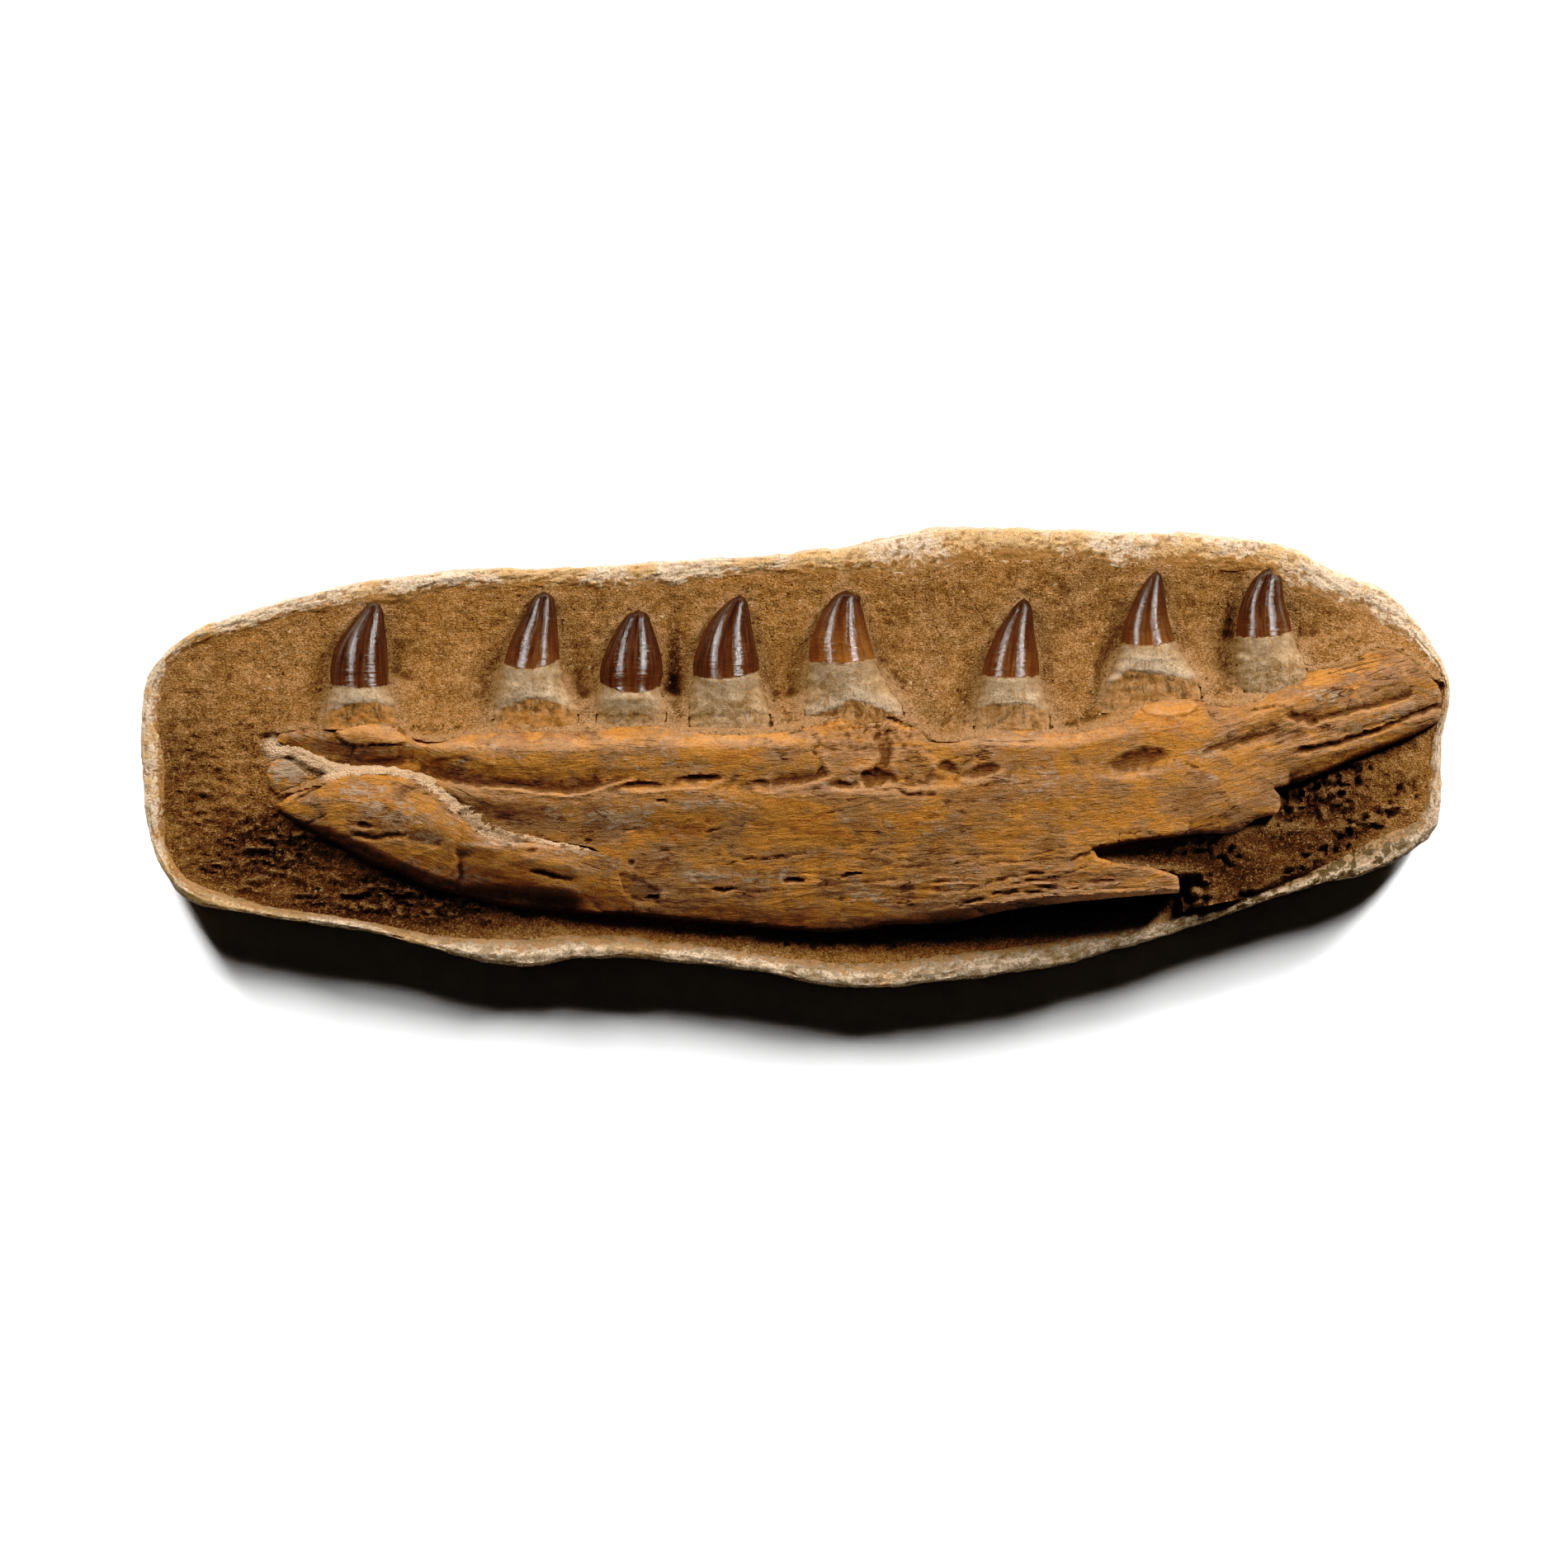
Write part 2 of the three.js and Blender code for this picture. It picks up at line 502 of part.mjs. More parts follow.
// A bone: its outline's block, cut off by its lofted surface, with its pits.
function boneSolid(outline, lines, pits = []) {
  const relief = reliefBlock(lineRelief(lines), BONE_BOTTOM - 5);
  const whole = block(ring(outline), BONE_BOTTOM, TOP_OF_CUTS).intersect(relief);
  return pits.reduce((solid, pit) => solid.subtract(pitSolid(pit, lines)), whole);
}

// The room that a bone takes in the matrix.
const boneRoom = (outline) =>
  block(offsetRing(ring(outline), JOINT_GAP), BONE_BOTTOM - JOINT_GAP, TOP_OF_CUTS);

// A tooth: oval sections across its length, from the root's flat end to a rounded tip. The flare of
// the root is wide but not deep.
function toothSolid({ rows, tip }, grow = 0) {
  const section = (y, left, right) => {
    const half = ((right - left) / 2) * MM_PER_PIXEL;
    const halfDepth = Math.min(half * TOOTH_DEPTH_SHARE, TOOTH_HALF_DEPTH_MOST);
    const [middle, along] = fromPhoto([(left + right) / 2, y]);
    return Array.from({ length: TOOTH_SIDES }, (_, i) => {
      const angle = (2 * Math.PI * i) / TOOTH_SIDES;
      return [
        middle + (half + grow) * Math.cos(angle),
        along,
        TOOTH_AXIS + (halfDepth + grow) * Math.sin(angle),
      ];
    });
  };
  const sections = rows.map(([y, left, right]) => section(y, left, right));
  sections[0].forEach((p) => {
    p[1] -= grow;
  });
  const vertices = sections.flat();
  const triangles = [];
  for (let level = 0; level < sections.length - 1; level += 1) {
    for (let i = 0; i < TOOTH_SIDES; i += 1) {
      const a = level * TOOTH_SIDES + i;
      const b = level * TOOTH_SIDES + ((i + 1) % TOOTH_SIDES);
      triangles.push([a, b + TOOTH_SIDES, b], [a, a + TOOTH_SIDES, b + TOOTH_SIDES]);
    }
  }
  const root = vertices.length;
  const [rootLeft, rootRight] = [rows[0][1], rows[0][2]];
  const [rootX, rootY] = fromPhoto([(rootLeft + rootRight) / 2, rows[0][0]]);
  const [tipX, tipY] = fromPhoto(tip);
  vertices.push([rootX, rootY - grow, TOOTH_AXIS], [tipX, tipY + grow, TOOTH_AXIS]);
  const crown = (sections.length - 1) * TOOTH_SIDES;
  for (let i = 0; i < TOOTH_SIDES; i += 1) {
    const next = (i + 1) % TOOTH_SIDES;
    triangles.push([root, i, next], [root + 1, crown + next, crown + i]);
  }
  return solidFrom(vertices, triangles);
}

// Height of the matrix at a point in millimetres: its loft, lowered in the hollows.
function matrixHeight(x, y) {
  const drops = MATRIX_HOLLOWS.map(([px, py, halfWidth, halfLength, depth]) => {
    const [cx, cy] = fromPhoto([px, py]);
    return depth * Math.exp(-(((x - cx) / halfWidth) ** 2) - ((y - cy) / halfLength) ** 2);
  });
  return loftHeight(MATRIX_LINES, x, y) - Math.max(...drops);
}

// Matrix: fills the jacket, with room for the bones and the teeth that stand in it.
function matrixSolid(rooms) {
  const points = offsetRing(ring(MATRIX_OUTLINE), -JOINT_GAP);
  const relief = reliefBlock(gridRelief(points, MATRIX_CELL, matrixHeight), 0);
  const filled = block(points, JACKET_FLOOR + JOINT_GAP, TOP_OF_CUTS).intersect(relief);
  return largest(rooms.reduce((solid, room) => solid.subtract(room), filled));
}

// A named mesh from a solid.
function piece(name, solid, material) {
  const made = solid.getMesh();
  const geometry = new THREE.BufferGeometry();
  geometry.setAttribute("position", new THREE.BufferAttribute(made.vertProperties, 3));
  geometry.setIndex(new THREE.BufferAttribute(made.triVerts, 1));
  geometry.computeVertexNormals();
  const mesh = new THREE.Mesh(geometry, material);
  mesh.name = name;
  return mesh;
}

const toothRooms = TEETH.map((tooth) => toothSolid(tooth, JOINT_GAP));
const socketed = (solid) => largest(toothRooms.reduce((s, room) => s.subtract(room), solid));
const bones = {
  dentary_bone: [DENTARY_OUTLINE, DENTARY_LINES, BONE_PITS],
  splenial_bone: [SPLENIAL_OUTLINE, SPLENIAL_LINES],
  bone_chip: [CHIP_OUTLINE, CHIP_LINES],
};

const fossil = new THREE.Group();
fossil.add(piece("plaster_jacket", jacketSolid(), MATERIALS.plaster));
fossil.add(
  piece(
    "sandy_matrix",
    matrixSolid([...Object.values(bones).map(([outline]) => boneRoom(outline)), ...toothRooms]),
    MATERIALS.matrix,
  ),
);
for (const [name, form] of Object.entries(bones)) {
  fossil.add(piece(name, socketed(boneSolid(...form)), MATERIALS.bone));
}
TEETH.forEach((tooth, i) => {
  fossil.add(piece(`tooth_${i + 1}`, toothSolid(tooth), MATERIALS.tooth));
});

export default fossil;
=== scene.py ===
import math

import bpy
import numpy as np
from mathutils import Matrix, Vector


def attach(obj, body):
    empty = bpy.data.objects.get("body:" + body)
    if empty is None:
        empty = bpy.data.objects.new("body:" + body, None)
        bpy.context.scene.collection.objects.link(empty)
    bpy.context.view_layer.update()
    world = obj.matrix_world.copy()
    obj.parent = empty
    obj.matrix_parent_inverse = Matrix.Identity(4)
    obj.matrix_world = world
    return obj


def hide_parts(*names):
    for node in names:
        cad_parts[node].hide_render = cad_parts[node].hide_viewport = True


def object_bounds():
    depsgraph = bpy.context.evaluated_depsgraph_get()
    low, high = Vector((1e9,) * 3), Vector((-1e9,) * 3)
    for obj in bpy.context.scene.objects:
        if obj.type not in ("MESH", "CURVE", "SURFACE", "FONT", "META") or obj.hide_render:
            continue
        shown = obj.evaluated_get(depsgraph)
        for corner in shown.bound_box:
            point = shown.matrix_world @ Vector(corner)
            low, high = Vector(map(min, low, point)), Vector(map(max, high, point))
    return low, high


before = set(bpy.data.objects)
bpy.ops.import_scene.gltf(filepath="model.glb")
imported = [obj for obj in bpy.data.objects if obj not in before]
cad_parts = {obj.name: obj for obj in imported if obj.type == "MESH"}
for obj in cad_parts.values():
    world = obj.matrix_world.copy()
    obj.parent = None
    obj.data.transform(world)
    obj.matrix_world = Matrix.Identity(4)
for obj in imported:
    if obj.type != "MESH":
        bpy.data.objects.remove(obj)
CAD_LOW, CAD_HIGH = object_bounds()

# A fossil jaw in its field jacket. Outlines and marks are given in pixels of the photograph, which
# looks straight down on the slab; heights are in millimetres above the face that it lies on.
JACKET_LENGTH = CAD_HIGH.x - CAD_LOW.x
LEFTMOST, RIGHTMOST = 169, 1760
TOPMOST, LOWEST = 637, 1198
PIXEL = JACKET_LENGTH / (RIGHTMOST - LEFTMOST)
PIXEL_MM = PIXEL * 1000
MIDDLE_X = (LEFTMOST + RIGHTMOST) / 2
MIDDLE_Y = (TOPMOST + LOWEST) / 2
PHOTO_SIZE = 1900
MM = 0.001

JACKET_FLOOR = 12
WIDEST_AT = 19
RIM_MIDDLE = 43
RIM_TILT = 0.009
BONE_BOTTOM = 30
TOOTH_AXIS = 45.5
TOOTH_DEPTH_SHARE = 0.82
TOOTH_HALF_DEPTH_MOST = 14
HIGHEST = CAD_HIGH.z * 1000 - 0.1

JACKET_OUTLINE = [
    (170, 905), (169, 868), (171, 840), (176, 820), (187, 803), (201, 787), (224, 770), (252, 754),
    (300, 740), (350, 725), (400, 712), (450, 701), (500, 695), (550, 690), (600, 687), (650, 688),
    (700, 686), (750, 683), (800, 679), (850, 676), (900, 674), (950, 671), (975, 666), (995, 663),
    (1012, 664), (1033, 661), (1060, 653), (1100, 644), (1122, 639), (1150, 637), (1200, 637),
    (1250, 639), (1300, 641), (1350, 644), (1400, 643), (1430, 643), (1470, 648), (1520, 652),
    (1550, 657), (1574, 665), (1600, 680), (1624, 692), (1650, 702), (1681, 714), (1700, 730),
    (1724, 760), (1738, 782), (1750, 800), (1758, 820), (1760, 838), (1757, 857), (1751, 878),
    (1748, 900), (1749, 950), (1748, 980), (1744, 1000), (1733, 1017), (1707, 1035), (1685, 1048),
    (1650, 1062), (1600, 1073), (1550, 1088), (1500, 1104), (1450, 1123), (1400, 1140),
    (1350, 1152), (1300, 1168), (1250, 1177), (1200, 1184), (1127, 1192), (1087, 1197),
    (1050, 1198), (1010, 1196), (980, 1192), (940, 1182), (900, 1175), (850, 1170), (800, 1164),
    (760, 1161), (713, 1162), (690, 1164), (665, 1170), (640, 1172), (612, 1170), (580, 1165),
    (550, 1158), (507, 1146), (480, 1139), (450, 1131), (400, 1122), (350, 1117), (300, 1109),
    (270, 1104), (245, 1099), (228, 1091), (212, 1078), (200, 1061), (188, 1041), (180, 1017),
    (173, 975), (170, 940),
]
MATRIX_OUTLINE = [
    (195, 985), (196, 940), (193, 905), (187, 870), (189, 838), (200, 804), (226, 781), (250, 775),
    (268, 767), (300, 759), (325, 751), (350, 741), (375, 735), (402, 734), (430, 731), (462, 728),
    (498, 725), (522, 716), (560, 710), (601, 706), (650, 707), (700, 708), (770, 708), (808, 706),
    (847, 700), (880, 695), (905, 692), (980, 692), (1040, 693), (1095, 693), (1128, 690),
    (1145, 686), (1158, 680), (1200, 679), (1252, 679), (1282, 675), (1305, 672), (1328, 674),
    (1352, 681), (1400, 682), (1428, 686), (1470, 685), (1505, 684), (1527, 689), (1550, 703),
    (1600, 721), (1650, 742), (1670, 755), (1690, 765), (1712, 779), (1728, 795), (1743, 811),
    (1751, 830), (1751, 850), (1747, 872), (1742, 890), (1740, 910), (1739, 930), (1734, 950),
    (1732, 980), (1722, 998), (1700, 1009), (1666, 1022), (1648, 1036), (1600, 1058),
    (1550, 1078), (1500, 1090), (1455, 1099), (1400, 1115), (1364, 1124), (1300, 1138),
    (1250, 1144), (1190, 1153), (1140, 1161), (1108, 1163), (1072, 1169), (1010, 1171),
    (970, 1168), (921, 1159), (871, 1150), (830, 1146), (800, 1146), (772, 1138), (737, 1136),
    (713, 1137), (689, 1134), (650, 1138), (590, 1140), (545, 1141), (507, 1135), (450, 1124),
    (400, 1115), (350, 1109), (320, 1104), (293, 1095), (250, 1081), (222, 1070), (208, 1054),
    (195, 1028),
]
DENTARY_OUTLINE = [
    (333, 896), (340, 889), (352, 884), (372, 880), (396, 878), (404, 872), (412, 864), (424, 858),
    (445, 852), (466, 854), (476, 862), (486, 876), (498, 888), (508, 898), (518, 901), (532, 898),
    (548, 892), (566, 888), (592, 885), (640, 883), (690, 885), (716, 882), (742, 879), (772, 876),
    (800, 877), (820, 881), (850, 886), (880, 888), (920, 887), (950, 884), (975, 879),
    (1002, 871), (1024, 865), (1052, 862), (1078, 865), (1100, 871), (1116, 880), (1130, 896),
    (1150, 898), (1176, 893), (1200, 887), (1222, 880), (1240, 877), (1254, 880), (1268, 885),
    (1296, 886), (1316, 884), (1340, 878), (1364, 871), (1376, 858), (1392, 849), (1412, 845),
    (1440, 844), (1460, 848), (1482, 854), (1504, 852), (1524, 846), (1546, 833), (1566, 820),
    (1588, 810), (1620, 805), (1640, 797), (1654, 788), (1670, 783), (1690, 784), (1708, 793),
    (1726, 808), (1740, 824), (1746, 840), (1747, 856), (1743, 874), (1730, 882), (1714, 890),
    (1694, 898), (1668, 909), (1642, 919), (1620, 929), (1600, 938), (1580, 946), (1560, 951),
    (1543, 956), (1550, 964), (1551, 976), (1547, 986), (1534, 989), (1520, 993), (1510, 1001),
    (1501, 1008), (1480, 1010), (1454, 1010), (1412, 1015), (1378, 1019), (1350, 1024),
    (1324, 1029), (1330, 1039), (1350, 1045), (1386, 1049), (1412, 1056), (1427, 1062),
    (1429, 1082), (1404, 1083), (1350, 1088), (1300, 1093), (1264, 1097), (1220, 1103),
    (1190, 1110), (1162, 1117), (1140, 1119), (1100, 1120), (1071, 1121), (1058, 1125),
    (1040, 1128), (1010, 1130), (985, 1129), (960, 1127), (930, 1124), (900, 1121), (850, 1117),
    (800, 1112), (767, 1109), (758, 1084), (750, 1059), (741, 1038), (715, 1026), (680, 1020),
    (640, 1014), (606, 1010), (584, 999), (566, 981), (546, 962), (524, 947), (500, 937),
    (470, 931), (436, 931), (410, 928), (396, 924), (372, 914), (350, 904),
]
SPLENIAL_OUTLINE = [
    (335, 977), (348, 966), (368, 955), (392, 948), (408, 941), (424, 938), (446, 937), (470, 937),
    (496, 943), (518, 953), (538, 967), (556, 986), (572, 1005), (592, 1017), (616, 1020),
    (642, 1021), (680, 1027), (704, 1030), (722, 1031), (743, 1036), (754, 1054), (762, 1080),
    (770, 1108), (740, 1108), (700, 1106), (660, 1102), (620, 1099), (590, 1094), (565, 1087),
    (545, 1082), (522, 1077), (505, 1069), (490, 1060), (474, 1053), (455, 1049), (440, 1041),
    (425, 1033), (410, 1024), (395, 1018), (384, 1012), (370, 1004), (356, 996), (344, 987),
]
CHIP_OUTLINE = [
    (322, 938), (328, 925), (338, 918), (350, 921), (362, 930), (374, 940), (386, 943), (374, 949),
    (352, 957), (334, 964), (325, 954),
]

# A surface is drawn through feature lines from left to right, each with a lower place on the
# photograph than the one before: photograph x and y, and height.
DENTARY_LINES = [
    [(333, 878, 46), (400, 870, 47), (450, 864, 50), (500, 884, 49), (540, 884, 51), (650, 879, 53),
     (800, 871, 53), (900, 879, 54), (990, 868, 54), (1060, 854, 53), (1120, 872, 51),
     (1200, 878, 52), (1300, 878, 53), (1400, 840, 51), (1460, 842, 52), (1550, 824, 52),
     (1650, 788, 50), (1700, 780, 48), (1760, 815, 46)],
    [(333, 892, 47), (400, 891, 52), (450, 890, 56), (500, 903, 54), (540, 908, 58), (600, 909, 62),
     (700, 909, 64), (800, 906, 64), (900, 906, 65), (980, 904, 64), (1060, 904, 59),
     (1120, 906, 60), (1200, 906, 64), (1300, 905, 66), (1400, 886, 65), (1500, 880, 63),
     (1600, 845, 59), (1700, 822, 54), (1760, 835, 48)],
    [(333, 900, 47), (400, 915, 49), (450, 918, 51), (500, 925, 51), (540, 940, 54), (580, 950, 57),
     (650, 955, 58.5), (700, 955, 58.8), (750, 950, 60), (800, 950, 61), (850, 948, 62), (920, 955, 63),
     (1000, 948, 63), (1060, 945, 60), (1120, 941, 61), (1180, 938, 63.5), (1250, 931, 65.5),
     (1370, 926, 66), (1450, 915, 66), (1560, 886, 60), (1650, 862, 58), (1760, 845, 48)],
    [(333, 903, 47), (400, 922, 49), (450, 926, 50), (500, 933, 51), (540, 954, 55), (600, 968, 59),
     (700, 968, 60.5), (750, 965, 61.5), (850, 963, 63), (920, 967, 64), (1000, 962, 64.5),
     (1060, 962, 64), (1180, 956, 66.5), (1370, 948, 68), (1450, 941, 67.5), (1560, 906, 62),
     (1650, 882, 56), (1760, 855, 48)],
    [(333, 906, 47), (500, 938, 51), (560, 978, 53.6), (640, 1005, 54.6), (700, 1012, 55.6),
     (800, 1015, 55.5), (900, 1020, 57), (1000, 1025, 58.5), (1100, 1025, 60.5), (1200, 1020, 63),
     (1300, 1000, 66), (1400, 980, 67), (1500, 966, 66.5), (1560, 928, 60), (1650, 901, 54),
     (1760, 865, 47)],
    [(333, 909, 47), (500, 942, 51), (560, 988, 52.4), (640, 1018, 53.4), (740, 1060, 51.5),
     (800, 1076, 49.5), (900, 1092, 48.5), (1000, 1104, 49), (1100, 1104, 51.5), (1200, 1092, 60),
     (1300, 1084, 64), (1430, 1077, 65), (1440, 1012, 64), (1550, 986, 60), (1562, 942, 56),
     (1650, 911, 51), (1760, 872, 46)],
    [(333, 912, 46), (500, 950, 50), (560, 998, 51), (640, 1026, 51), (740, 1112, 41),
     (800, 1118, 41), (900, 1126, 41), (1000, 1134, 42), (1100, 1126, 44), (1200, 1113, 48),
     (1300, 1098, 49), (1430, 1088, 49), (1440, 1034, 57), (1550, 1006, 54), (1562, 960, 50),
     (1650, 924, 47), (1760, 884, 44)],
]
SPLENIAL_LINES = [
    [(330, 963, 46), (400, 936, 50), (470, 932, 52), (520, 947, 53), (560, 984, 54),
     (600, 1014, 56), (680, 1022, 56.5), (765, 1042, 52.5)],
    [(330, 974, 47), (400, 966, 54), (470, 972, 57), (520, 988, 57), (560, 1012, 55),
     (600, 1031, 59), (680, 1042, 58), (765, 1064, 51.5)],
    [(330, 982, 46), (400, 1000, 51), (470, 1032, 50.5), (520, 1056, 47), (560, 1066, 45),
     (600, 1068, 50), (680, 1075, 51), (765, 1090, 48)],
    [(330, 988, 44), (400, 1014, 45), (470, 1046, 44), (520, 1070, 41), (560, 1081, 39),
     (600, 1086, 41), (680, 1092, 42), (765, 1104, 43)],
    [(330, 992, 42), (400, 1026, 40), (470, 1062, 37), (520, 1084, 35), (560, 1094, 34),
     (620, 1108, 35), (700, 1114, 36), (765, 1117, 40)],
]
CHIP_LINES = [
    [(318, 915, 44), (392, 915, 45)],
    [(318, 938, 46), (392, 940, 48)],
    [(318, 968, 43), (392, 966, 45)],
]
MATRIX_LINES = [
    [(180, 800, 42), (300, 752, 43), (500, 716, 43.5), (900, 688, 44), (1150, 676, 45),
     (1400, 676, 45), (1550, 700, 44.5), (1700, 770, 44), (1765, 815, 43)],
    [(180, 832, 41), (300, 812, 41.5), (500, 792, 41), (900, 772, 41), (1200, 770, 41.5),
     (1400, 745, 41.5), (1550, 752, 42), (1700, 788, 43), (1765, 830, 43)],
    [(180, 872, 41), (330, 876, 44), (450, 872, 45), (600, 880, 46), (900, 884, 47),
     (1150, 890, 49), (1350, 870, 47), (1500, 845, 47), (1600, 802, 46), (1700, 796, 44),
     (1765, 840, 43)],
    [(180, 950, 40), (320, 942, 43), (400, 930, 46), (520, 950, 48), (700, 1000, 46),
     (900, 1000, 44), (1300, 980, 44), (1550, 900, 44), (1765, 862, 42)],
    [(180, 1010, 38), (330, 1050, 36), (450, 1095, 31), (560, 1112, 30.5), (700, 1122, 32),
     (900, 1136, 32), (1100, 1140, 32), (1300, 1116, 33), (1440, 1088, 36), (1550, 1030, 42),
     (1650, 960, 41), (1765, 895, 41)],
    [(180, 1044, 38), (300, 1100, 34), (450, 1124, 32), (600, 1142, 34), (900, 1157, 36),
     (1100, 1167, 36), (1300, 1142, 36), (1500, 1094, 34), (1600, 1062, 34), (1720, 1007, 38),
     (1765, 985, 39)],
]

# Each tooth is given from its root to its tip, as photograph y and its left and right x there;
# then its tip, the left, middle and right y of the enamel's edge, how amber the enamel is, and the
# line below which the root's surface is broken.
TEETH = [
    ([(870, 391, 482), (850, 397, 477), (833, 401, 471), (812, 402, 469), (790, 406, 468),
      (770, 416, 466), (750, 432, 463.5), (738, 442, 461), (731, 449, 457)],
     (453, 728), (829, 834, 830), 0.25,
     [(398, 862), (430, 852), (455, 850), (480, 858)]),
    ([(880, 590, 708), (864, 597, 703), (848, 600, 694), (830, 604, 684), (811, 609, 679),
      (793, 615, 677), (772, 622, 675), (750, 634, 673), (733, 642, 671), (722, 650, 667)],
     (659, 716), (804, 811, 799), 0.4,
     [(588, 874), (612, 856), (645, 846), (672, 850), (694, 858), (706, 872)]),
    ([(880, 717, 815), (864, 720, 811), (850, 722, 806), (838, 727, 800), (815, 728, 801.5),
      (795, 733, 799.5), (772, 743, 793), (755, 754, 787), (745, 762, 783)],
     (774, 738.5), (827, 840, 832), 0.3,
     [(718, 864), (745, 868), (780, 866), (815, 864)]),
    ([(884, 829, 944), (866, 832, 936), (845, 836, 927), (824, 840, 921), (800, 842, 918),
      (778, 849, 913), (757, 859, 909), (740, 872, 906), (728, 885, 903)],
     (897, 720), (819, 823, 813), 0.3,
     [(830, 866), (870, 868), (910, 862), (940, 868)]),
    ([(870, 968, 1102), (854, 973, 1093), (838, 977, 1080), (818, 979, 1068), (801, 981, 1061),
      (780, 983, 1054), (762, 989, 1049), (745, 996, 1045), (730, 1006, 1041), (721, 1014, 1039)],
     (1025, 714.5), (802, 804, 798), 0.85,
     [(966, 876), (985, 867), (1004, 861), (1017, 856), (1033, 847), (1049, 852), (1071, 859),
      (1090, 869), (1102, 874)]),
    ([(888, 1174, 1280), (872, 1179, 1276), (852, 1184, 1269), (834, 1188, 1263),
      (819, 1190, 1259), (800, 1195, 1257), (780, 1203, 1254), (760, 1213, 1251),
      (745, 1224, 1249.5), (733, 1232, 1247)],
     (1241, 724.5), (818, 822, 819), 0.5,
     [(1172, 864), (1200, 854), (1240, 852), (1280, 862)]),
    ([(850, 1334, 1462), (830, 1340, 1456), (810, 1348, 1444), (793, 1356, 1432),
      (780, 1359, 1425), (762, 1362, 1418), (743, 1369, 1413), (725, 1377, 1410.5),
      (710, 1386, 1408), (698, 1395, 1405.5)],
     (1402, 691), (779, 783, 777), 0.5,
     [(1334, 840), (1364, 813), (1400, 816), (1440, 823), (1464, 826)]),
    ([(842, 1504, 1566), (826, 1500, 1588), (806, 1498, 1584), (788, 1498, 1574),
      (769, 1499, 1566), (750, 1501.5, 1561), (730, 1506, 1555), (712, 1514.5, 1552.5),
      (698, 1524, 1550)],
     (1539, 687), (771, 773, 765), 0.35,
     [(1495, 836), (1540, 838), (1590, 832)]),
]

# Marks carved in the bones. A groove is a path with its reach above and below and its depth; a lip
# is a path with a width and a height; a pit is a middle, two half widths, a depth and a turn; a
# crack is a path with a width and a depth.
DENTARY_GROOVES = [
    ([(505, 938), (535, 944), (570, 950), (610, 952), (650, 956), (685, 960), (708, 958),
      (728, 950)], 13, 2.6, 2.1),
    ([(935, 948), (960, 948), (985, 944), (1003, 938)], 11, 2.6, 2),
    ([(1005, 950), (1020, 953), (1040, 950)], 5, 2.5, 1.5),
    ([(1556, 868), (1580, 873), (1605, 871), (1640, 862), (1680, 852), (1712, 842)], 9, 2.5, 2.2),
    ([(1570, 910), (1590, 907), (1630, 897), (1670, 884), (1710, 866), (1748, 852)], 2.5, 4, 2.6),
    ([(1620, 893), (1660, 880), (1700, 866), (1745, 846)], 2, 2, 0.9),
    ([(345, 905), (375, 917), (405, 925), (440, 924), (490, 925)], 9, 4, 1.4),
    ([(1455, 912), (1490, 902), (1520, 892), (1550, 880)], 8, 6, 1.6),
]
DENTARY_LIPS = [
    ([(585, 955), (620, 958), (650, 962), (680, 965), (705, 964), (725, 958), (745, 951),
      (768, 946)], 2.3, 1.3),
    ([(755, 958), (780, 961), (797, 959), (815, 957), (840, 957), (858, 954), (873, 948)], 3, 1),
    ([(915, 958), (930, 961), (950, 957), (975, 953), (995, 948), (1010, 941)], 3, 0.9),
    ([(1010, 957), (1030, 961), (1045, 958)], 3, 0.6),
    ([(1165, 946), (1180, 948), (1196, 943), (1215, 936)], 4, 1),
    ([(1348, 936), (1364, 940), (1382, 937), (1400, 927)], 6, 0.5),
]
DENTARY_PITS = [
    (780, 951, 22, 4, 1.7, 0), (845, 944, 24, 4.5, 2.1, -5), (803, 971, 8, 2.4, 1.2, 0),
    (924, 949, 10, 5, 1.3, 0), (1020, 951, 11, 4, 1.3, 0), (1052, 943, 10, 7, 2, 0),
    (1150, 931, 13, 7, 1.6, 20), (1190, 934, 20, 8, 1.9, -12), (1376, 925, 38, 15, 2.6, -14),
    (1394, 918, 17, 8, 2.4, -14), (1589, 877, 10, 4, 2.5, -5), (962, 1067, 12, 2.6, 2, -2),
    (877, 1078, 16, 2.4, 1.8, 0),
    (1030, 1060, 14, 2.2, 1.6, -6), (865, 1006, 9, 1.8, 0.9, -3), (1003, 1070, 2, 2, 1, 0),
    (790, 1087, 9, 2.6, 1.8, 0), (764, 1046, 5, 3, 1, 0), (715, 1019, 6, 1.6, 1, 0),
]
